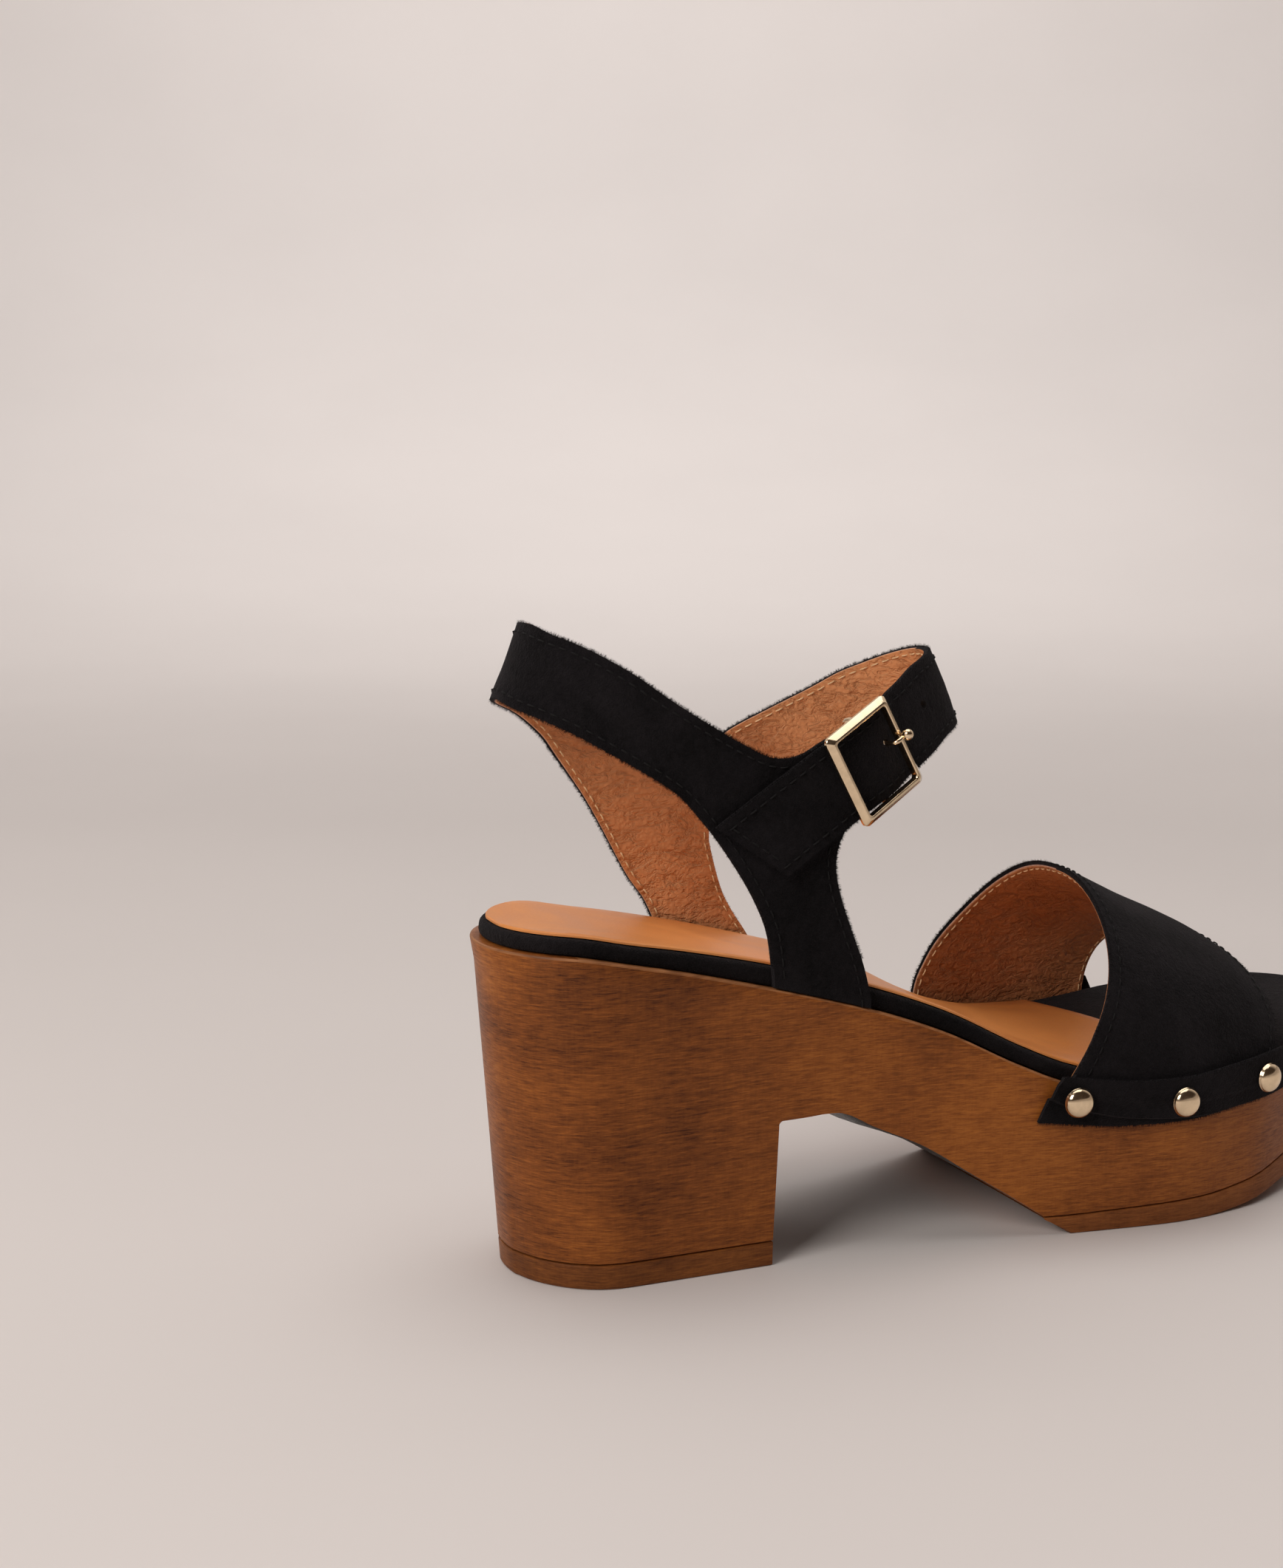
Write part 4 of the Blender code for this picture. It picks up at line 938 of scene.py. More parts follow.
    def build_tread(self) -> None:
        """Tread under the platform; its rear face carries on the slope of the arch."""
        form = self.form
        _, split = self.stations()
        edge = form.share_at(form.tread_back)
        rings: list[Ring] = []
        round_low, round_high = 0.0006, 0.00035
        for low, high in zip(form.toe_shares(edge, self.toe_rings), form.toe_shares(split, self.toe_rings)):
            height = form.joint(edge) if high < edge else form.joint(high)
            foot = form.floor(low)
            walls: dict[int, list[Vector]] = {}
            for side in (-1, 1):
                walls[side] = [form.wall(low, side, foot, -round_low),
                               form.wall(low, side, foot + 0.3 * round_low, -0.3 * round_low),
                               form.wall(low, side, foot + round_low),
                               form.wall(high, side, height - round_high),
                               form.wall(high, side, height - 0.3 * round_high, -0.3 * round_high),
                               form.wall(high, side, height, -round_high)]
            rings.append((self.across(walls[-1][0], walls[1][0]), walls[1][1:-1],
                          self.across(walls[1][-1], walls[-1][-1]), walls[-1][1:-1][::-1]))
        piece = self.solid("platform_tread", rings, (True, False), [self.stock.tread])
        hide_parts("forefoot_tread")


@dataclass
class PaddedFootbed:
    """Suede-wrapped footbed and the leather sock on it."""

    form: WoodForm
    stock: Stock
    thickness: float = 0.0043
    inset: float = 0.0022
    dish: float = 0.0008
    roundness: float = 0.0015
    sock: float = 0.0008
    sock_inset: float = 0.0040
    sock_end: float = 0.1500
    sock_arc: float = 0.0090
    line: Table = ((0.00, 0.82), (0.10, 0.86), (0.26, 1.08), (0.40, 1.06), (0.55, 0.94), (1.00, 0.90))

    def point(self, share: float, t: float) -> Vector:
        """Point of the upper face; t runs from the outer rim to the inner rim.

        Args:
            share: share of the length.
            t: place across, from 0 to 1.

        Returns:
            The point.
        """
        rim = self.form.top(share) + GAP + self.thickness * read(self.line, 1, share)
        outer = self.form.inset(share, -1, self.inset + self.roundness, rim)
        inner = self.form.inset(share, 1, self.inset + self.roundness, rim)
        place = outer.lerp(inner, t)
        place.z -= self.dish * self.form.end_round(share) * (1.0 - (2.0 * t - 1.0) ** 2)
        return place

    def shares(self) -> list[float]:
        """Shares of the length for the footbed's cross sections.

        Returns:
            The shares, from heel to toe.
        """
        back = self.form.heel_end
        rows = self.form.heel_shares(back, 16) + [back + (0.70 - back) * i / 48.0 for i in range(1, 49)]
        return rows + self.form.toe_shares(0.70, 28)[1:]

    def build(self, sole: WoodenSole) -> None:
        """Footbed and sock.

        Args:
            sole: the wooden sole.
        """
        rings: list[Ring] = []
        for share in self.shares():
            base = self.form.top(share) + GAP
            rim = base + self.thickness * read(self.line, 1, share)
            walls: dict[int, list[Vector]] = {}
            for side in (-1, 1):
                steps = [(self.inset + 0.0003, base), (self.inset, base + 0.0005),
                         (self.inset - 0.0001, (base + rim - self.roundness) / 2.0)]
                for i in range(5):
                    angle = math.radians(18.0 * i)
                    steps.append((self.inset + self.roundness * (1.0 - math.cos(angle)),
                                  rim - self.roundness * (1.0 - math.sin(angle))))
                walls[side] = [self.form.inset(share, side, inset, z) for inset, z in steps]
            upper = [self.point(share, 1.0 - i / sole.columns) for i in range(sole.columns + 1)]
            lower = sole.across(walls[-1][0], walls[1][0])
            rings.append((lower, walls[1][1:], upper, walls[-1][1:][::-1]))
        piece = sole.solid("suede_footbed", rings, (False, False), [self.stock.footbed_suede])
        piece.data.shade_smooth()
        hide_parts("footbed")
        self.build_sock()

    def build_sock(self) -> None:
        """Sock with its bowed front edge and softened rim."""
        end = self.form.share_at(self.sock_end - self.sock_arc)
        shares = [share for share in self.shares() if 0.002 < share < end - 0.004] + [end]
        rim = self.inset + self.roundness
        columns = 16
        layers: list[list[list[Vector]]] = []
        for lift, draw in ((GAP, 0.0), (GAP + 0.6 * self.sock, 0.0), (GAP + self.sock, 0.0005)):
            grid: list[list[Vector]] = []
            for k, share in enumerate(shares):
                ends = draw / self.form.length
                share += ends if k == 0 else (-ends if k == len(shares) - 1 else 0.0)
                width = self.form.inset(share, 1, rim, 0.0).y - self.form.inset(share, -1, rim, 0.0).y
                edge = min((self.sock_inset + draw - rim) / max(width, 1e-4), 0.4)
                row: list[Vector] = []
                for i in range(columns + 1):
                    t = edge + (1.0 - 2.0 * edge) * i / columns
                    bow = self.sock_arc / self.form.length * (1.0 - (2.0 * t - 1.0) ** 2)
                    bow *= ramp(share, 0.4, end)
                    place = self.point(share + bow, t)
                    place.z += lift
                    row.append(place)
                grid.append(row)
            layers.append(grid)
        piece = layered_grid("leather_sock", layers[::-1], [self.stock.sock], (0, 0, 0, 0))
        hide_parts("insole_sock")


def layered_grid(name: str, layers: list[list[list[Vector]]], finishes: list[bpy.types.Material],
                 slots: tuple[int, ...]) -> bpy.types.Object:
    """Closed wall through stacked grids of points.

    Args:
        name: name of the piece.
        layers: grids from the outer face to the inner face, with the same rows and columns.
        finishes: materials of the piece.
        slots: material of the outer face, of each strip of the cut edge, and of the inner face.

    Returns:
        The piece.
    """
    mesh = bmesh.new()
    grids = [[[mesh.verts.new(p) for p in row] for row in grid] for grid in layers]
    rows, columns = len(grids[0]), len(grids[0][0])
    for grid, slot in ((grids[0], slots[0]), (grids[-1], slots[-1])):
        for i in range(rows - 1):
            for j in range(columns - 1):
                face = mesh.faces.new((grid[i][j], grid[i + 1][j], grid[i + 1][j + 1], grid[i][j + 1]))
                face.material_index = slot
    border = [(0, j) for j in range(columns)] + [(i, columns - 1) for i in range(1, rows)]
    border += [(rows - 1, j) for j in range(columns - 2, -1, -1)] + [(i, 0) for i in range(rows - 2, 0, -1)]
    for k in range(len(layers) - 1):
        for (i, j), (m, n) in zip(border, border[1:] + border[:1]):
            face = mesh.faces.new((grids[k][i][j], grids[k][m][n], grids[k + 1][m][n], grids[k + 1][i][j]))
            face.material_index = slots[k + 1]
    for grid in grids[1:-1]:
        bmesh.ops.delete(mesh, geom=[v for row in grid for v in row if not v.link_faces], context="VERTS")
    face_outwards(mesh)
    return new_piece(name, mesh, finishes, 38.0)


@dataclass
class Needlework:
    """Rows of stitches and the short nap along the cut edges of suede."""

    stitch: float = 0.0022
    pause: float = 0.0008
    thread: float = 0.00040
    fibres_per_mm: float = 20.0
    fibre: float = 0.00105
    dice: random.Random = field(default_factory=lambda: random.Random(11))

    def row(self, name: str, paths: list[Path], finish: bpy.types.Material, slot: str) -> None:
        """Stitches along paths on a surface.

        Args:
            name: name of the piece.
            paths: points with the surface's normal there.
            finish: thread's material.
            slot: not used.
        """
        mesh = bmesh.new()
        for path in paths:
            lengths = [0.0]
            for (a, _), (b, _) in zip(path, path[1:]):
                lengths.append(lengths[-1] + (b - a).length)
            pitch = self.stitch + self.pause
            for i in range(int(lengths[-1] / pitch)):
                start = (i + 0.5) * pitch - self.stitch / 2.0
                self.one_stitch(mesh, [self.along(path, lengths, start + self.stitch * t)
                                       for t in (0.0, 0.14, 0.5, 0.86, 1.0)])
        if not mesh.faces:
            mesh.free()
            return
        piece = new_piece(name, mesh, [finish], 80.0)

    def along(self, path: Path, lengths: list[float], goal: float) -> tuple[Vector, Vector]:
        """Point and normal at a length along a path.

        Args:
            path: the path.
            lengths: length at each of its points.
            goal: the length.

        Returns:
            Point and normal.
        """
        k = 0
        while k < len(lengths) - 2 and lengths[k + 1] < goal:
            k += 1
        t = min(max((goal - lengths[k]) / max(lengths[k + 1] - lengths[k], 1e-12), 0.0), 1.0)
        return path[k][0].lerp(path[k + 1][0], t), path[k][1].lerp(path[k + 1][1], t).normalized()

    def one_stitch(self, mesh: bmesh.types.BMesh, spine: Path) -> None:
        """One stitch: a thread that dives into the leather at both ends.

        Args:
            mesh: the mesh.
            spine: its points and normals.
        """
        along = (spine[-1][0] - spine[0][0]).normalized()
        rings: list[list[bmesh.types.BMVert]] = []
        for (point, normal), girth, lift in zip(spine, (0.4, 0.95, 1.0, 0.95, 0.4),
                                                (-0.5, 0.35, 0.6, 0.35, -0.5)):
            side = along.cross(normal).normalized()
            radius = self.thread / 2.0 * girth
            middle = point + normal * self.thread * lift
            rings.append([mesh.verts.new(middle + side * radius * math.cos(a) + normal * radius * math.sin(a))
                          for a in (math.tau * k / 6.0 for k in range(6))])
        for a, b in zip(rings, rings[1:]):
            for k in range(6):
                j = (k + 1) % 6
                mesh.faces.new((a[k], a[j], b[j], b[k]))
        mesh.faces.new(rings[0][::-1])
        mesh.faces.new(rings[-1])

    def nap(self, name: str, edges: list[tuple[Vector, Vector, Vector, Vector]],
            finish: bpy.types.Material) -> None:
        """Short fibres standing out of the cut edges.

        Args:
            name: name of the piece.
            edges: start and end of each stretch of edge, the way out of it and the outer face's normal.
            finish: fibres' material.
        """
        mesh = bmesh.new()
        for a, b, out, normal in edges:
            count = (b - a).length * 1000.0 * self.fibres_per_mm
            for _ in range(int(count) + (self.dice.random() < count % 1.0)):
                root = (a.lerp(b, self.dice.random()) - out * 0.0002
                        + normal * self.dice.uniform(-0.0005, 0.0))
                lean = (b - a).normalized() * self.dice.uniform(-0.8, 0.8)
                way = (out + normal * self.dice.uniform(-0.5, 0.6) + lean).normalized()
                length = self.fibre * self.dice.uniform(0.45, 1.15)
                wide = way.cross(normal).normalized() * self.dice.uniform(0.00003, 0.00006)
                bend = root + way * length * 0.6 + normal * length * self.dice.uniform(-0.12, 0.12)
                tip = root + way * length
                corners = [mesh.verts.new(p) for p in (root - wide, root + wide, bend + wide * 0.6,
                                                       bend - wide * 0.6, tip)]
                mesh.faces.new(corners[:4])
                mesh.faces.new((corners[3], corners[2], corners[4]))
        piece = new_piece(name, mesh, [finish], 180.0)


@dataclass
class AnkleUpper:
    """Quarters, heel strap and ankle strap, cut as one pattern and lasted round the ankle."""

    form: WoodForm
    stock: Stock
    needle: Needlework
    wall: float = 0.0018
    strap: float = 0.0182
    heel_strap: float = 0.0172
    base: float = 0.0640
    height: float = 0.0900
    half_width: float = 0.0260
    slant: float = 0.0026
    buckle_at: float = 0.0524
    buckle_width: float = 0.0213
    centre_bar: float = 0.0016
    pin_hole: float = 0.0054
    pin_rise: float = 0.0012
    hole: float = 0.0022
    free_hole: float = 0.0195
    stitch_inset: float = 0.0020
    lining_inset: float = 0.0012
    nap_foot: float = 0.072
    spacing: float = 0.0024
    square: float = 2.2
    steps: int = 96
    rim_inset: float = 0.0022
    heel_middle: float = 0.909
    strap_middle: float = 0.804
    last: Table = ((0.00, -0.003, 0.592, 1.040), (0.35, 0.001, 0.545, 1.005), (0.60, 0.007, 0.508, 0.985),
                   (0.79, 0.018, 0.482, 0.965), (0.90, 0.034, 0.463, 0.950), (1.00, 0.047, 0.446, 0.930))
    heel_outer: Table = ((0.045, 0.887), (0.066, 0.858), (0.101, 0.800), (0.134, 0.740), (0.169, 0.670))
    heel_inner: Table = ((0.045, 0.888), (0.079, 0.838), (0.112, 0.762), (0.132, 0.700), (0.153, 0.639))
    strap_inner: Table = ((0.300, 0.546), (0.322, 0.572), (0.359, 0.621), (0.403, 0.680), (0.440, 0.737))
    strap_outer: Table = ((0.444, 0.780), (0.413, 0.732), (0.381, 0.681), (0.354, 0.640), (0.321, 0.590),
                          (0.290, 0.536), (0.258, 0.479))
    free_end: tuple[float, float] = (0.228, 0.421)
    tab: Table = ((0.290, 0.548), (0.324, 0.604), (0.3380, 0.620))
    rear_outer: Table = ((0.157, 0.585), (0.187, 0.495), (0.208, 0.415), (0.230, 0.315), (0.246, 0.215),
                         (0.252, 0.120), (0.254, 0.050))
    front_outer: Table = ((0.354, 0.010), (0.346, 0.090), (0.333, 0.190), (0.321, 0.290), (0.317, 0.370),
                          (0.324, 0.440))
    rear_inner: Table = ((0.107, 0.628), (0.134, 0.530), (0.149, 0.470), (0.167, 0.387), (0.194, 0.256),
                         (0.211, 0.190), (0.229, 0.090))
    front_inner: Table = ((0.338, 0.020), (0.324, 0.067), (0.308, 0.134), (0.296, 0.196), (0.283, 0.310),
                          (0.279, 0.370), (0.286, 0.432))
    dip_outer: Table = ((0.240, 0.672), (0.262, 0.654), (0.284, 0.662))
    dip_inner: Table = ((0.222, 0.608), (0.250, 0.592), (0.274, 0.616))

    def __post_init__(self) -> None:
        """Measures the last once, for the flat pattern."""
        level = self.base + self.height * 0.7
        points = [self.last_point(i / self.steps, level) for i in range(self.steps + 1)]
        self.turns = [0.0]
        for a, b in zip(points, points[1:]):
            self.turns.append(self.turns[-1] + (b - a).length)

    def section(self, z: float) -> tuple[float, float, float]:
        """Centre, half length and half width of the last at a height.

        Args:
            z: height.

        Returns:
            Centre, half length and half width.
        """
        level = (z - self.base) / self.height
        back = self.form.place_at(read(self.last, 1, level))
        front = self.form.place_at(read(self.last, 2, level))
        return (back + front) / 2.0, (front - back) / 2.0, self.half_width * read(self.last, 3, level)

    def wrap_at(self, x: float, z: float) -> float:
        """Wrap of a place in side view: 0 at the heel's back, 1 at the front.

        Args:
            x: place along the foot.
            z: height.

        Returns:
            The wrap.
        """
        centre, reach, _ = self.section(z)
        t = min(max((centre - x) / reach, -1.0), 1.0)
        return math.acos(power(t, self.square / 2.0)) / math.pi

    def last_point(self, wrap: float, z: float) -> Vector:
        """Point on the last's surface.

        Args:
            wrap: wrap round the last.
            z: height.

        Returns:
            The point.
        """
        centre, reach, width = self.section(z)
        angle = math.pi * wrap
        x = centre - reach * power(math.cos(angle), 2.0 / self.square)
        y = width * power(math.sin(angle), 2.0 / self.square)
        seat = self.form.share_at(x)
        if 0.1 < seat < 0.7:
            side = 1 if y > 0.0 else -1
            rim = self.form.outline(seat, side).y - side * (self.rim_inset - GAP - self.wall)
            level = z - self.form.top(seat)
            y += (rim - y) * (1.0 - ramp(level, 0.08 * self.height, 0.45 * self.height))
        return Vector((x, y, z))

    def last_normal(self, wrap: float, z: float) -> Vector:
        """Outward normal of the last's surface.

        Args:
            wrap: wrap round the last.
            z: height.

        Returns:
            The normal.
        """
        around = self.last_point(wrap + 0.01, z) - self.last_point(wrap - 0.01, z)
        up = self.last_point(wrap, z + 0.002) - self.last_point(wrap, z - 0.002)
        return up.cross(around).normalized()

    def length_of(self, wrap: float) -> float:
        """Length round the last from the heel's back, negative on the outer side.

        Args:
            wrap: wrap round the last.

        Returns:
            The length.
        """
        if wrap < 0.0:
            return -self.length_of(-wrap)
        if wrap > 1.0:
            return 2.0 * self.turns[-1] - self.length_of(2.0 - wrap)
        i = min(int(wrap * self.steps), self.steps - 1)
        t = wrap * self.steps - i
        return self.turns[i] * (1.0 - t) + self.turns[i + 1] * t

    def wrap_of(self, length: float) -> float:
        """Wrap at a length round the last.

        Args:
            length: the length.

        Returns:
            The wrap.
        """
        if length < 0.0:
            return -self.wrap_of(-length)
        if length > self.turns[-1]:
            return 2.0 - self.wrap_of(2.0 * self.turns[-1] - length)
        i = min(max(sum(1 for x in self.turns if x <= length) - 1, 0), self.steps - 1)
        return (i + (length - self.turns[i]) / (self.turns[i + 1] - self.turns[i])) / self.steps

    def strap_level(self, x: float) -> float:
        """Height of the ankle strap's middle on the outer side."""
        return self.base + self.height * read(tuple(sorted(self.strap_outer)), 1, self.form.share_at(x))

    def past(self, x: float) -> float:
        """Wrap of the ankle strap's outer end."""
        return 2.0 - self.wrap_at(x, self.strap_level(x))

    def layer(self, wrap: float) -> float:
        """How far the ankle strap rises over the buckle's centre bar.

        Args:
            wrap: wrap round the last.

        Returns:
            The rise.
        """
        front = self.past(self.buckle_at + self.buckle_width / 2.0)
        full = self.past(self.buckle_at + self.centre_bar * 1.6)
        return (self.wall + GAP) * ramp(wrap, front, full)

    def face(self, length: float, z: float, depth: float) -> Vector:
        """Point of the upper: depth is 0 on its outer face and 1 on its lining."""
        wrap = self.wrap_of(length)
        return self.last_point(wrap, z) + self.last_normal(wrap, z) * (self.layer(wrap) - self.wall * depth)

    def flat(self, wrap: float, z: float) -> Vector:
        """Place on the flat pattern."""
        return Vector((self.length_of(wrap), z))

    def side_point(self, share: float, level: float, turn: Turn) -> Vector:
        """Pattern point of a table's row.

        Args:
            share: share of the length.
            level: share of the last's height.
            turn: side of the ankle.

        Returns:
            The point.
        """
        z = self.base + self.height * level
        wrap = self.wrap_at(self.form.place_at(share), z)
        return self.flat({Turn.INNER: wrap, Turn.OUTER: -wrap, Turn.PAST: 2.0 - wrap}[turn], z)

    def on_rim(self, share: float, turn: Turn) -> Vector:
        """Pattern point where a quarter stands on the wood.

        Args:
            share: share of the length.
            turn: side of the ankle.

        Returns:
            The point.
        """
        z = self.form.top(share) + GAP
        wrap = self.wrap_at(self.form.place_at(share), z)
        return self.flat(wrap if turn is Turn.INNER else -wrap, z)

    def rim_run(self, start: float, end: float, turn: Turn) -> list[Vector]:
        """Foot of a quarter along the wood's rim."""
        return [self.on_rim(start + (end - start) * i / 4.0, turn) for i in range(5)]

    def runs(self) -> list[list[Vector]]:
        """Edges of the flat pattern in order, from the outer branch's top edge round.

        Returns:
            The edges.
        """
        heel = [self.side_point(*row, Turn.OUTER) for row in reversed(self.heel_outer)]
        heel += [self.flat(0.0, self.base + self.height * self.heel_middle)]
        heel += [self.side_point(*row, Turn.INNER) for row in self.heel_inner]
        strap = [self.side_point(*row, Turn.INNER) for row in self.strap_inner]
        strap += [self.flat(1.0, self.base + self.height * self.strap_middle)]
        strap += [self.side_point(*row, Turn.PAST) for row in self.strap_outer + (self.free_end,)]
        tab = [self.side_point(*row, Turn.OUTER) for row in reversed(self.tab)]
        heel_top, heel_low = beside(heel, self.heel_strap / 2.0), beside(heel, -self.heel_strap / 2.0)
        strap_top, strap_low = beside(strap, self.strap / 2.0), beside(strap, -self.strap / 2.0)
        along = (strap[-1] - strap[-2]).normalized()
        strap_top[-1] += along * self.slant
        strap_low[-1] -= along * self.slant
        tab_top, tab_low = beside(tab, self.strap * 0.47), beside(tab, -self.strap * 0.47)
        rear_outer = [self.side_point(*row, Turn.OUTER) for row in self.rear_outer]
        rear_inner = [self.side_point(*row, Turn.INNER) for row in self.rear_inner]
        front_outer = [self.side_point(*row, Turn.OUTER) for row in self.front_outer]
        front_inner = [self.side_point(*row, Turn.INNER) for row in self.front_inner]
        rear_outer[-1] = self.on_rim(self.rear_outer[-1][0], Turn.OUTER)
        rear_inner[-1] = self.on_rim(self.rear_inner[-1][0], Turn.INNER)
        front_outer[0] = self.on_rim(self.front_outer[0][0], Turn.OUTER)
        front_inner[0] = self.on_rim(self.front_inner[0][0], Turn.INNER)
        dip_outer = [self.side_point(*row, Turn.OUTER) for row in reversed(self.dip_outer)]
        dip_inner = [self.side_point(*row, Turn.INNER) for row in self.dip_inner]
        return [
            tab_top[:2] + dip_outer + heel_top[1:-1] + dip_inner + strap_top[1:],
            [strap_top[-1], strap_low[-1]],
            strap_low[:1:-1] + front_inner[::-1],
            self.rim_run(self.front_inner[0][0], self.rear_inner[-1][0], Turn.INNER),
            rear_inner[::-1] + heel_low[2:-2][::-1] + rear_outer,
            self.rim_run(self.rear_outer[-1][0], self.front_outer[0][0], Turn.OUTER),
            front_outer + tab_low[:2][::-1],
            [tab_low[0], tab_top[0]],
        ]

    def hole_at(self, offset: float) -> Vector:
        """Pattern point of a hole in the ankle strap, in front of the centre bar.

        Args:
            offset: distance in front of the bar.

        Returns:
            The hole's centre.
        """
        x = self.buckle_at + offset
        middle = self.flat(self.past(x), self.strap_level(x))
        behind = self.flat(self.past(self.buckle_at), self.strap_level(self.buckle_at))
        along = (behind - middle).normalized()
        return middle + Vector((-along.y, along.x)) * self.pin_rise

    def fill(self, loop: list[Vector],
             holes: list[list[Vector]]) -> tuple[list[Vector], list[tuple[int, ...]]]:
        """Points and faces of the flat pattern.

        Args:
            loop: its outline.
            holes: outlines of its holes.

        Returns:
            Its points and its faces.
        """
        points = [p.copy() for run in [loop] + holes for p in run]
        edges: list[tuple[int, int]] = []
        start = 0
        for run in [loop] + holes:
            edges += [(start + i, start + (i + 1) % len(run)) for i in range(len(run))]
            start += len(run)
        low = Vector((min(p.x for p in loop), min(p.y for p in loop)))
        high = Vector((max(p.x for p in loop), max(p.y for p in loop)))
        border = list(points)
        rise = self.spacing * 0.87
        for row in range(int((high.y - low.y) / rise) + 1):
            for column in range(int((high.x - low.x) / self.spacing) + 1):
                p = low + Vector(((column + 0.5 * (row % 2)) * self.spacing, row * rise))
                room = (self.spacing * 0.55) ** 2
                if inside(p, loop) and min((p - q).length_squared for q in border) > room:
                    points.append(p)
        result = delaunay_2d_cdt(points, edges, [], 0, 1e-7)
        faces = []
        for face in result[2]:
            middle = sum((result[0][i] for i in face), Vector((0.0, 0.0))) / len(face)
            if inside(middle, loop) and not any(inside(middle, hole) for hole in holes):
                faces.append(tuple(face))
        return list(result[0]), faces

    def build(self) -> None:
        """Lasted upper, its stitches and the nap along its edges."""
        runs = [smooth_run(run, self.spacing) for run in self.runs()]
        loop = [p for run in runs for p in run[:-1]]
        holes = []
        for offset in (self.pin_hole, self.free_hole):
            middle = self.hole_at(offset)
            holes.append([middle + Vector((math.cos(a), math.sin(a))) * self.hole / 2.0
                          for a in (math.tau * i / 16.0 for i in range(16))])
        places, faces = self.fill(loop, holes)
        mesh = bmesh.new()
        layers = [[mesh.verts.new(self.face(p.x, p.y, depth)) for p in places] for depth in WALL_DEPTHS]
        used: set[tuple[int, int]] = set()
        for face in faces:
            mesh.faces.new([layers[0][i] for i in face]).material_index = 0
            mesh.faces.new([layers[-1][i] for i in reversed(face)]).material_index = 1
            used.update((i, face[(k + 1) % len(face)]) for k, i in enumerate(face))
        rim = [(i, j) for i, j in used if (j, i) not in used]
        rim.sort()
        for i, j in rim:
            in_hole = any((places[i] - hole[0]).length < self.hole * 1.1 for hole in holes)
            dyed = not 0.0 < places[i].x < self.turns[-1]
            for k, slot in ((0, 0), (1, 2), (2, 1)):
                side = mesh.faces.new((layers[k][j], layers[k][i], layers[k + 1][i], layers[k + 1][j]))
                side.material_index = 3 if in_hole else (0 if dyed else slot)
        bmesh.ops.delete(mesh, geom=[v for v in mesh.verts if not v.link_faces], context="VERTS")
        face_outwards(mesh)
        stock = self.stock
        piece = new_piece("ankle_upper_suede", mesh,
                          [stock.suede, stock.lining, stock.cut, stock.dark_hole], 40.0)
        round_edges(piece, CUT_ROUND)
        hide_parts("ankle_upper")
        self.sew(runs)
        self.brush(places, rim, holes)

    def sew(self, runs: list[list[Vector]]) -> None:
        """Stitches along the free edges, dark outside and gold on the lining.

        Args:
            runs: edges of the pattern.
        """
        outer: list[Path] = []
        lining: list[Path] = []
        for index in (0, 1, 2, 4, 6):
            for depth, rows, sign, inset in ((0.0, outer, 1.0, self.stitch_inset),
                                             (1.0, lining, -1.0, self.lining_inset)):
                line = beside(runs[index], -inset)
                if index == 1:
                    line = line[1:-1]
                rows.append([(self.face(p.x, p.y, depth), self.last_normal(self.wrap_of(p.x), p.y) * sign)
                             for p in line])
        self.needle.row("ankle_upper_stitches", outer, self.stock.black_thread, "black_suede")
        self.needle.row("ankle_lining_stitches", lining, self.stock.gold_thread, "tan_leather")

    def brush(self, places: list[Vector], rim: list[tuple[int, int]], holes: list[list[Vector]]) -> None:
        """Nap along the cut edges, apart from the foot of the quarters.

        Args:
            places: points of the pattern.
            rim: pairs of points on its edge.
            holes: outlines of its holes.
        """
        edges = []
        for i, j in rim:
            a, b = places[i], places[j]
            if any((a - hole[0]).length < self.hole * 1.1 for hole in holes) or min(a.y, b.y) < self.nap_foot:
                continue
            way = (b - a).normalized()
            out_flat = Vector((way.y, -way.x))
            middle = (a + b) / 2.0
            tip = middle + out_flat * 0.0005
            out = (self.face(tip.x, tip.y, 0.0) - self.face(middle.x, middle.y, 0.0)).normalized()
            edges.append((self.face(a.x, a.y, 0.0), self.face(b.x, b.y, 0.0), out,
                          self.last_normal(self.wrap_of(middle.x), middle.y)))
        self.needle.nap("ankle_upper_nap", edges, self.stock.suede)


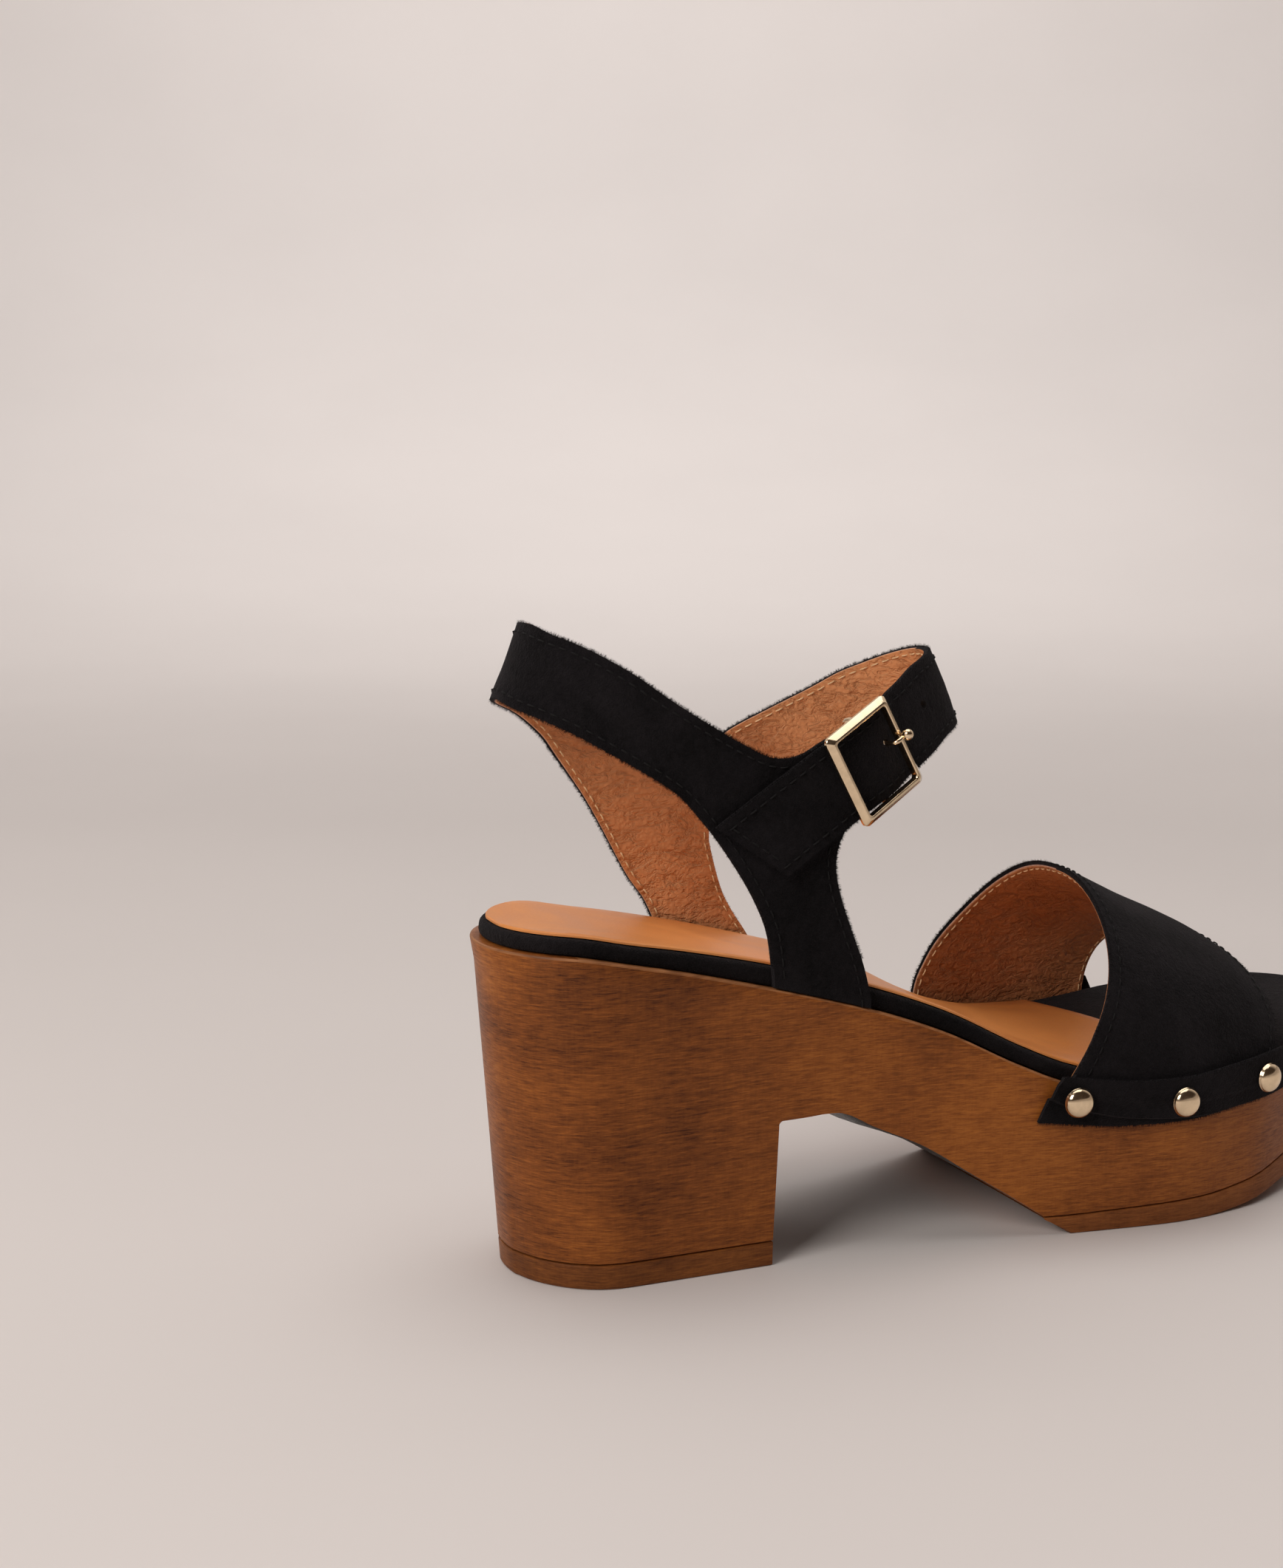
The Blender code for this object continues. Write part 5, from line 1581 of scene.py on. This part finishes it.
@dataclass
class ToeStrap:
    """Wide toe strap over the foot, and the studded bands along its edges."""

    form: WoodForm
    stock: Stock
    needle: Needlework
    wall: float = 0.0018
    skive: float = 0.0012
    flap: float = 0.0045
    instep: float = 0.0560
    skew: float = 0.0045
    back: float = 0.1040
    width: float = 0.0605
    square: float = 2.25
    dyed_side: float = 0.006
    stitch_inset: float = 0.0027
    lining_inset: float = 0.0013
    studs: int = 3
    band_wall: float = 0.0014
    band_height: float = 0.0118
    band_reach: float = 0.0022
    band_tip: float = 0.0052
    stud_rear: float = 0.0016
    stud_front: float = 0.0046
    stud_size: float = 0.0076
    stud_height: float = 0.0024
    stud_ease: float = 0.935
    edges: Table = ((0.00, 0.000, 1.000), (0.06, 0.110, 1.030), (0.14, 0.210, 1.080), (0.23, 0.275, 1.095),
                    (0.35, 0.322, 1.100), (0.50, 0.372, 1.100), (0.62, 0.387, 1.080), (0.72, 0.342, 1.050),
                    (0.80, 0.264, 1.020), (0.88, 0.140, 0.995), (0.94, 0.035, 0.980), (1.00, -0.007, 0.975))
    rise: Table = ((0.500, 1.120), (0.613, 0.960), (0.660, 0.880), (0.715, 0.760), (0.774, 0.610),
                   (0.837, 0.405), (0.900, 0.240))
    band_drop: Table = ((0.00, 0.36), (0.05, 0.28), (0.19, 0.17), (0.34, 0.10), (0.51, 0.03), (0.71, -0.05),
                        (0.90, -0.05), (1.00, -0.02))

    def girth(self, x: float, turn: float, out: float) -> Vector:
        """Point of the strap; turn runs from the outer side to the inner side.

        Args:
            x: place along the foot.
            turn: share of the way over the foot.
            out: how far it stands out.

        Returns:
            The point.
        """
        share = self.form.share_at(x)
        half = self.form.ball_width / 2.0
        centre = read(self.form.plan, 1, share) * half
        reach = (read(self.form.plan, 2, share) * half * self.form.end_round(share)
                 + GAP + self.wall + out)
        height = self.instep * read(self.rise, 1, share) + out
        angle = math.pi * turn
        lift = max(math.sin(angle), 0.0) ** (2.0 / self.square)
        y = centre - reach * power(math.cos(angle), 2.0 / self.square) + self.skew * lift * lift
        return Vector((x, y, self.form.top(share) + height * lift))

    def edge(self, turn: float, column: int) -> float:
        """Place along the foot of the rear or front edge, with its kinks eased.

        Args:
            turn: share of the way over the foot.
            column: column of the edge table.

        Returns:
            The place.
        """
        room = min(turn, 1.0 - turn, 0.07)
        spread = 0.0
        for step, weight in ((0.0, 0.11), (0.33, 0.17), (0.66, 0.13), (1.0, 0.09)):
            before = read(self.edges, column, turn - room * step)
            spread += weight * (before + read(self.edges, column, turn + room * step))
        return self.back + self.width * spread

    def place(self, t: float, turn: float) -> float:
        """Place along the foot between the two edges."""
        return self.edge(turn, 1) * (1.0 - t) + self.edge(turn, 2) * t

    def normal(self, t: float, turn: float) -> Vector:
        """Outward normal of the strap.

        Args:
            t: 0 at the rear edge, 1 at the front edge.
            turn: share of the way over the foot.

        Returns:
            The normal.
        """
        a = self.girth(self.place(t, max(turn - 0.01, 0.0)), max(turn - 0.01, 0.0), 0.0)
        b = self.girth(self.place(t, min(turn + 0.01, 1.0)), min(turn + 0.01, 1.0), 0.0)
        c = self.girth(self.place(max(t - 0.02, 0.0), turn), turn, 0.0)
        d = self.girth(self.place(min(t + 0.02, 1.0), turn), turn, 0.0)
        return (b - a).cross(c - d).normalized()

    def build(self) -> None:
        """Strap, stitches, nap, bands and studs."""
        along, around = 30, 84
        layers = []
        for depth in WALL_DEPTHS:
            grid = []
            for i in range(along + 1):
                t = i / along
                row = []
                for j in range(-3, around + 4):
                    turn = min(max(j / around, 0.0), 1.0)
                    x = self.place(t, turn)
                    if 0 <= j <= around:
                        row.append(self.girth(x, turn, -self.wall * depth))
                        continue
                    beyond = -j if j < 0 else j - around
                    drop = self.flap * (0.15, 0.42, 1.0)[beyond - 1]
                    share = self.form.share_at(x)
                    reach = GAP + self.skive * (1.0 - depth)
                    row.append(self.form.wall(share, -1 if j < 0 else 1, self.form.top(share) - drop, reach))
                grid.append(row)
            layers.append(grid)
        stock = self.stock
        piece = layered_grid("toe_strap_suede", layers, [stock.suede, stock.vamp_lining, stock.cut],
                             (0, 0, 2, 1, 1))
        for face in piece.data.polygons:
            if face.material_index == 2 and face.center.y < self.dyed_side:
                face.material_index = 0
        round_edges(piece, CUT_ROUND)
        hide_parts("toe_strap")
        self.sew_and_brush()
        for side, label in ((Side.OUTER, "lateral"), (Side.INNER, "medial")):
            self.build_band(side, label)
            self.build_studs(side, label)

    def sew_and_brush(self) -> None:
        """Stitches and nap along the strap's two open edges."""
        outer: list[Path] = []
        lining: list[Path] = []
        nap = []
        for t, way in ((0.0, 1.0), (1.0, -1.0)):
            inward = 0.0024 / self.width * way
            turns = [0.012 + 0.976 * i / 160.0 for i in range(161)]
            for depth, rows, sign, inset in ((0.0, outer, 1.0, self.stitch_inset),
                                             (1.0, lining, -1.0, self.lining_inset)):
                step = inset / self.width * way
                rows.append([(self.girth(self.place(t + step, turn), turn, -self.wall * depth),
                              self.normal(t, turn) * sign) for turn in turns])
            for a, b in zip(turns, turns[1:]):
                middle = (a + b) / 2.0
                start, end = (self.girth(self.place(t, turn), turn, 0.0) for turn in (a, b))
                inner = self.girth(self.place(t + inward, middle), middle, 0.0)
                out = (self.girth(self.place(t, middle), middle, 0.0) - inner).normalized()
                nap.append((start, end, out, self.normal(t, middle)))
        self.needle.row("toe_strap_stitches", outer, self.stock.black_thread, "black_suede")
        self.needle.row("toe_lining_stitches", lining, self.stock.gold_thread, "tan_leather")
        self.needle.nap("toe_strap_nap", nap, self.stock.suede)

    def corner(self, side: int, t: float) -> float:
        """Place along the foot on a band's upper edge.

        Args:
            side: -1 on the outer side, 1 on the inner side.
            t: 0 at its rear end, 1 at its front end.

        Returns:
            The place.
        """
        turn = 0.0 if side < 0 else 1.0
        rear = self.edge(turn, 1) - self.band_reach
        return rear + (self.edge(turn, 2) + self.band_reach - rear) * t

    def middle(self, side: int, t: float) -> float:
        """Height of a band's middle line."""
        top = self.form.top(self.form.share_at(self.corner(side, t)))
        return top - self.band_height * read(self.band_drop, 1, t)

    def build_band(self, side: Side, label: str) -> None:
        """Band over the strap's edge, its corners cut to points.

        Args:
            side: side of the foot.
            label: lateral or medial.
        """
        over = GAP + self.skive + GAP
        above = GAP + self.wall + GAP
        along = 56
        layers = []
        for lift in (self.band_wall, self.band_wall * 0.4, 0.0):
            grid = []
            for i in range(along + 1):
                t = i / along
                high_x = self.corner(side.value, t)
                low_x = high_x + self.band_tip * (2.0 * t - 1.0)
                low = self.middle(side.value, t) - self.band_height / 2.0
                top = self.form.top(self.form.share_at((high_x + low_x) / 2.0))
                step = max(top - self.flap - 0.0010, low + 0.0003)
                ledge = max(top - self.flap - 0.0003, step + 0.0005)
                fold = max(top - 0.35 * self.flap, ledge + 0.0003)
                marks = ((low, GAP), (step, GAP), (ledge, over), (fold, over), (top, above),
                         (low + self.band_height, above))
                row = []
                for (z, reach), (z_next, reach_next) in zip(marks, marks[1:]):
                    for k in range(3):
                        share = k / 3.0
                        level = z + (z_next - z) * share
                        x = low_x + (high_x - low_x) * (level - low) / self.band_height
                        soft = reach + (reach_next - reach) * ramp(share, 0.0, 1.0)
                        row.append(self.form.wall(self.form.share_at(x), side.value, level, soft + lift))
                z, reach = marks[-1]
                row.append(self.form.wall(self.form.share_at(high_x), side.value, z, reach + lift))
                grid.append(row)
            layers.append(grid)
        stock = self.stock
        piece = layered_grid("studded_band_" + label, layers, [stock.suede], (0, 0, 0, 0))
        round_edges(piece, 0.0002)
        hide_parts("toe_band_" + label)
        outer = layers[0]
        nap = []
        for i in range(along):
            for a, b, inner in ((outer[i][0], outer[i + 1][0], outer[i][3]),
                                (outer[i + 1][-1], outer[i][-1], outer[i][-4])):
                normal = self.form.outward(self.form.share_at(a.x), side.value).to_3d()
                nap.append((a, b, (a - inner).normalized(), normal))
        self.needle.nap("studded_band_nap_" + label, nap, stock.suede)

    def build_studs(self, side: Side, label: str) -> None:
        """Domed studs along a band.

        Args:
            side: side of the foot.
            label: lateral or medial.
        """
        rear = self.corner(side.value, 0.0)
        span = self.corner(side.value, 1.0) - rear
        first = (self.band_reach + self.stud_rear) / span
        last = 1.0 - (self.band_reach + self.stud_front) / span
        for i in range(self.studs):
            t = first + (last - first) * (i / (self.studs - 1.0)) ** self.stud_ease
            share = self.form.share_at(self.corner(side.value, t))
            out = GAP + self.wall + GAP + self.band_wall + GAP * 1.5
            seat = self.form.wall(share, side.value, self.middle(side.value, t), out)
            z = self.form.outward(share, side.value).to_3d().normalized()
            x = Vector((0.0, 0.0, 1.0)).cross(z).normalized()
            place = Matrix.Translation(seat) @ Matrix((x, z.cross(x), z)).transposed().to_4x4()
            mesh = self.stud_mesh()
            mesh.transform(place)
            piece = new_piece("domed_stud_%s_%d" % (label, i + 1), mesh, [self.stock.metal], 50.0)
            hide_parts("stud_%s_%d" % (label, i + 1))

    def stud_mesh(self) -> bmesh.types.BMesh:
        """Stud with a turned rim and a low dome, its flat back on z = 0.

        Returns:
            The mesh.
        """
        mesh = bmesh.new()
        radius = self.stud_size / 2.0
        profile = [(0.90, 0.0), (0.975, 0.03), (1.0, 0.10), (0.99, 0.17), (0.965, 0.215)]
        profile += [(0.965 * math.cos(a), 0.215 + 0.785 * math.sin(a)) for a in
                    (math.radians(8.0 * i) for i in range(1, 11))]
        rings = [[mesh.verts.new((radius * r * math.cos(a), radius * r * math.sin(a), self.stud_height * h))
                  for a in (math.tau * k / 48.0 for k in range(48))] for r, h in profile]
        crown = mesh.verts.new((0.0, 0.0, self.stud_height))
        mesh.faces.new(rings[0][::-1])
        for a, b in zip(rings, rings[1:]):
            for k in range(48):
                j = (k + 1) % 48
                mesh.faces.new((a[k], a[j], b[j], b[k]))
        for k in range(48):
            mesh.faces.new((rings[-1][k], rings[-1][(k + 1) % 48], crown))
        return mesh


@dataclass
class Buckle:
    """Bevelled frame, dropped centre bar and pin."""

    upper: AnkleUpper
    stock: Stock
    height: float = 0.0242
    bar: float = 0.0021
    depth: float = 0.0020
    edge: float = 0.0007
    pin: float = 0.0011
    tip: float = 0.0028
    search: float = 0.56

    def near(self, place: Matrix, depth: float) -> list[Vector]:
        """Strap points round the buckle, in the frame's own directions.

        Args:
            place: placement of the frame.
            depth: 0 outside, 1 on the lining.

        Returns:
            The points.
        """
        upper = self.upper
        inverse = place.inverted()
        middle = upper.length_of(upper.past(upper.buckle_at))
        reach = upper.buckle_width * 0.75
        points = []
        for i in range(33):
            length = middle + reach * (i / 16.0 - 1.0)
            x = upper.last_point(upper.wrap_of(length), upper.strap_level(upper.buckle_at)).x
            for j in range(9):
                z = upper.strap_level(x) + upper.strap * 0.62 * (j / 4.0 - 1.0)
                points.append(inverse @ upper.face(length, z, depth))
        return points

    def settle(self) -> Matrix:
        """Placement of the frame: X forward along the strap, Y up across it, Z outwards.

        Returns:
            The placement.
        """
        upper = self.upper
        half = upper.buckle_width / 2.0
        ends = [upper.face(upper.length_of(upper.past(x)), upper.strap_level(x), 0.0)
                for x in (upper.buckle_at - half, upper.buckle_at + half)]
        level = upper.strap_level(upper.buckle_at)
        middle = upper.face(upper.length_of(upper.past(upper.buckle_at)), level, 0.0)
        forward = (ends[1] - ends[0]).normalized()
        up = upper.last_normal(upper.past(upper.buckle_at), level).cross(forward).normalized()
        out = forward.cross(up).normalized()
        middle += up * (((ends[0] + ends[1]) / 2.0 - middle).dot(up) * 0.6)
        place = Matrix.Translation(middle) @ Matrix((forward, up, out)).transposed().to_4x4()
        rise = max(p.z for p in self.near(place, 0.0)
                   if half - self.bar - GAP < abs(p.x) < half + GAP and abs(p.y) < upper.strap * self.search)
        return place @ Matrix.Translation((0.0, 0.0, rise + GAP))

    def corners(self, inset: float, radius: float) -> list[Vector]:
        """Points of the frame's outline, its corners rounded.

        Args:
            inset: distance inside the frame's edge.
            radius: radius of the corners.

        Returns:
            The points.
        """
        width, height = self.upper.buckle_width - 2.0 * inset, self.height - 2.0 * inset
        points = []
        for sx, sy, start in ((1, 1, 0.0), (-1, 1, 90.0), (-1, -1, 180.0), (1, -1, 270.0)):
            for i in range(9):
                a = math.radians(start + 90.0 * i / 8.0)
                points.append(Vector((sx * (width / 2.0 - radius) + radius * math.cos(a),
                                      sy * (height / 2.0 - radius) + radius * math.sin(a))))
        return points

    def rod(self, mesh: bmesh.types.BMesh, path: list[Vector], thickness: float) -> None:
        """Round rod along a path, with soft bends.

        Args:
            mesh: the mesh.
            path: the path.
            thickness: its diameter.
        """
        line = smooth_run(path, 0.0004)
        rings = []
        side = Vector((0.0, 1.0, 0.0)) if abs(line[-1].x - line[0].x) > 1e-4 else Vector((1.0, 0.0, 0.0))
        for i in range(len(line)):
            along = (line[min(i + 1, len(line) - 1)] - line[max(i - 1, 0)]).normalized()
            other = along.cross(side).normalized()
            ways = [side * math.cos(a) + other * math.sin(a)
                    for a in (math.tau * k / 12.0 for k in range(12))]
            rings.append([mesh.verts.new(line[i] + way * thickness / 2.0) for way in ways])
        for a, b in zip(rings, rings[1:]):
            for k in range(12):
                j = (k + 1) % 12
                mesh.faces.new((a[k], a[j], b[j], b[k]))
        mesh.faces.new(rings[0][::-1])
        mesh.faces.new(rings[-1])

    def build(self) -> None:
        """Frame with its centre bar, and pin with its rolled tip."""
        upper = self.upper
        place = self.settle()
        lining = self.near(place, 1.0)

        def under(x: float) -> float:
            """Height of the strap's lining under a place along the frame."""
            return min(p.z for p in lining if abs(p.x - x) < 0.0012 and abs(p.y) < upper.strap * self.search)

        mesh = bmesh.new()
        profile = ((0.0, 0.0), (0.0, self.edge), (0.05, self.edge + 0.0002), (0.58, self.depth - 0.00004),
                   (0.66, self.depth), (0.86, self.depth), (0.95, self.depth * 0.93), (1.0, self.depth * 0.8),
                   (1.0, 0.0))
        loops = [[mesh.verts.new((p.x, p.y, z))
                  for p in self.corners(share * self.bar, 0.0016 - 0.0008 * share)]
                 for share, z in profile]
        for a, b in zip(loops, loops[1:] + loops[:1]):
            for i in range(len(a)):
                j = (i + 1) % len(a)
                mesh.faces.new((a[i], a[j], b[j], b[i]))
        drop = under(0.0) - GAP - upper.centre_bar / 2.0
        end = self.height / 2.0 - self.bar * 0.5
        self.rod(mesh, [Vector((0.0, -end, self.depth * 0.4)), Vector((0.0, -end, drop * 0.7)),
                        Vector((0.0, -end + 0.0008, drop)), Vector((0.0, end - 0.0008, drop)),
                        Vector((0.0, end, drop * 0.7)), Vector((0.0, end, self.depth * 0.4))],
                        upper.centre_bar)
        bmesh.ops.recalc_face_normals(mesh, faces=mesh.faces)
        mesh.transform(place)
        piece = new_piece("buckle_bevelled_frame", mesh, [self.stock.metal], 24.0)
        round_edges(piece, 0.00012, 2, 30.0)
        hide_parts("buckle_frame")
        self.build_pin(place, under, drop)

    def build_pin(self, place: Matrix, under: Callable[[float], float], drop: float) -> None:
        """Pin from the centre bar through the strap's hole to the front bar.

        Args:
            place: placement of the frame.
            under: height of the strap's lining by place along the frame.
            drop: height of the centre bar.
        """
        upper = self.upper
        hole = upper.hole_at(upper.pin_hole)
        through = place.inverted() @ upper.face(hole.x, hole.y, 0.0)
        start = upper.centre_bar / 2.0 + GAP + 0.0004
        clear = GAP + self.pin / 2.0 + 0.0002
        low_start = min(under(start), drop + upper.centre_bar / 2.0) - clear
        tip = upper.buckle_width / 2.0 - self.bar * 0.45
        high = self.depth + GAP + self.pin / 2.0
        y = through.y
        mesh = bmesh.new()
        self.rod(mesh,
                 [Vector((start, y, low_start)), Vector((through.x - 0.0001, y, under(through.x) - clear)),
                        Vector((through.x, y, high)), Vector((tip, y, high))], self.pin)
        ball = bmesh.ops.create_uvsphere(mesh, u_segments=32, v_segments=20, radius=self.tip / 2.0)["verts"]
        bmesh.ops.translate(mesh, verts=ball, vec=(tip, y, self.depth + GAP + self.tip / 2.0))
        bmesh.ops.recalc_face_normals(mesh, faces=mesh.faces)
        mesh.transform(place)
        piece = new_piece("buckle_tongue_pin", mesh, [self.stock.metal], 50.0)
        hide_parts("buckle_pin")


@dataclass
class Studio:
    """Pale floor that sweeps up all round, soft lights and the camera."""

    yaw: float = 67.1
    pitch: float = 8.61
    camera: Colour = (-0.198, -0.48045, 0.194)
    lens: float = 50.896
    centre: float = 0.09
    flat_reach: float = 1.3
    reach: float = 3.2
    rise: float = 1.05
    near_rise: float = 0.42
    floor_colour: Colour = (0.715, 0.672, 0.652)

    def build(self) -> None:
        """Backdrop, lights, world and camera."""
        scene = bpy.context.scene
        scene.view_settings.view_transform = "Standard"
        scene.view_settings.look = "None"
        self.sweep()
        forward, right = self.directions()
        left_front = -forward * 1.15 - right * 0.95 + Vector((0.0, 0.0, 1.05))
        self.light("key_softbox", left_front, 0.8, 18.0, (1.0, 0.955, 0.915), Vector((0.08, 0.0, 0.06)))
        above = forward * 0.25 + Vector((self.centre, 0.0, 2.3))
        self.light("top_softbox", above, 2.2, 21.5, (1.0, 0.97, 0.95), Vector((self.centre, 0.0, 0.0)))
        wash = forward * 1.75 + Vector((0.0, 0.0, 1.75))
        self.light("paper_wash", wash, 1.4, 25.0, (1.0, 0.975, 0.96),
                   forward * 3.3 + Vector((0.0, 0.0, 0.75)))
        scene.world = self.room(forward)
        data = bpy.data.cameras.new("studio_camera")
        data.lens = self.lens
        data.sensor_width = 36.0
        data.clip_start = 0.01
        camera = bpy.data.objects.new("studio_camera", data)
        scene.collection.objects.link(camera)
        camera.location = self.camera
        camera.rotation_euler = (math.radians(90.0 - self.pitch), 0.0, math.radians(self.yaw - 90.0))
        scene.camera = camera

    def directions(self) -> tuple[Vector, Vector]:
        """Level directions ahead of and to the right of the camera."""
        yaw = math.radians(self.yaw)
        return Vector((math.cos(yaw), math.sin(yaw), 0.0)), Vector((math.sin(yaw), -math.cos(yaw), 0.0))

    def room(self, forward: Vector) -> bpy.types.World:
        """Room above the paper: pale beyond the sandal, dim on the side that it is seen from.

        Args:
            forward: level direction in which the room is pale.

        Returns:
            The world.
        """
        world = bpy.data.worlds.new("studio_room")
        world.use_nodes = True
        tree = world.node_tree
        where = tree.nodes.new("ShaderNodeTexCoord")
        dot = tree.nodes.new("ShaderNodeVectorMath")
        dot.operation = "DOT_PRODUCT"
        dot.inputs[1].default_value = (forward.x, forward.y, 0.35)
        band = tree.nodes.new("ShaderNodeValToRGB")
        band.color_ramp.elements[0].position = 0.0
        band.color_ramp.elements[0].color = (0.050, 0.036, 0.028, 1.0)
        band.color_ramp.elements[1].position = 0.55
        band.color_ramp.elements[1].color = (0.66, 0.60, 0.565, 1.0)
        tree.links.new(where.outputs["Generated"], dot.inputs[0])
        tree.links.new(dot.outputs["Value"], band.inputs["Fac"])
        tree.links.new(band.outputs["Color"], tree.nodes["Background"].inputs["Color"])
        tree.nodes["Background"].inputs["Strength"].default_value = 0.9
        return world

    def light(self, name: str, place: Vector, size: float, power_w: float, colour: Colour,
              target: Vector) -> None:
        """Square softbox.

        Args:
            name: name of the light.
            place: its middle.
            size: its side.
            power_w: its power.
            colour: its colour.
            target: the point that it faces.
        """
        data = bpy.data.lights.new(name, "AREA")
        data.size = size
        data.energy = power_w
        data.color = colour
        lamp = bpy.data.objects.new(name, data)
        bpy.context.scene.collection.objects.link(lamp)
        lamp.location = place
        lamp.rotation_euler = (target - place).to_track_quat("-Z", "Y").to_euler()

    def sweep(self) -> None:
        """Round floor that curves up to a low wall on all sides."""
        mesh = bmesh.new()
        profile = [(self.flat_reach * i / 6.0, 0.0) for i in range(1, 7)]
        for i in range(1, 25):
            angle = math.pi / 2.0 * i / 24.0
            profile.append((self.flat_reach + (self.reach - self.flat_reach) * math.sin(angle),
                            1.0 - math.cos(angle)))
        yaw = math.radians(self.yaw)
        rings = [[mesh.verts.new((r * math.cos(a) + self.centre, r * math.sin(a), z * (
                      self.near_rise + (self.rise - self.near_rise) * ramp(math.cos(a - yaw), -0.6, 0.5))))
                  for a in (math.tau * k / 96.0 for k in range(96))] for r, z in profile]
        middle = mesh.verts.new((self.centre, 0.0, 0.0))
        for k in range(96):
            mesh.faces.new((middle, rings[0][k], rings[0][(k + 1) % 96]))
        for a, b in zip(rings, rings[1:]):
            for k in range(96):
                j = (k + 1) % 96
                mesh.faces.new((a[k], b[k], b[j], a[j]))
        data = bpy.data.meshes.new("studio_sweep")
        mesh.to_mesh(data)
        mesh.free()
        data.shade_smooth()
        floor = bpy.data.objects.new("studio_sweep", data)
        bpy.context.scene.collection.objects.link(floor)
        g = Graph("pale_paper")
        soft = g.noise(3.0, 2.0)
        dim = tuple(0.97 * value for value in self.floor_colour)
        g.feed("Base Color", g.tones(soft, ((0.3, dim), (0.7, self.floor_colour))))
        g.put("Roughness", 0.85)
        g.put("Specular IOR Level", 0.15)
        data.materials.append(g.material)


def main() -> None:
    """Builds the sandal and its studio."""
    logging.basicConfig(level=logging.INFO, format="%(message)s")
    form = WoodForm()
    stock = Stock()
    needle = Needlework()
    sole = WoodenSole(form, stock)
    sole.build()
    LOG.info("sole, top lift and tread")
    PaddedFootbed(form, stock).build(sole)
    LOG.info("footbed and sock")
    upper = AnkleUpper(form, stock, needle)
    upper.build()
    LOG.info("ankle upper")
    ToeStrap(form, stock, needle).build()
    LOG.info("toe strap, bands and studs")
    Buckle(upper, stock).build()
    LOG.info("buckle")
    Studio().build()
    LOG.info("studio")


if __name__ == "__main__":
    main()
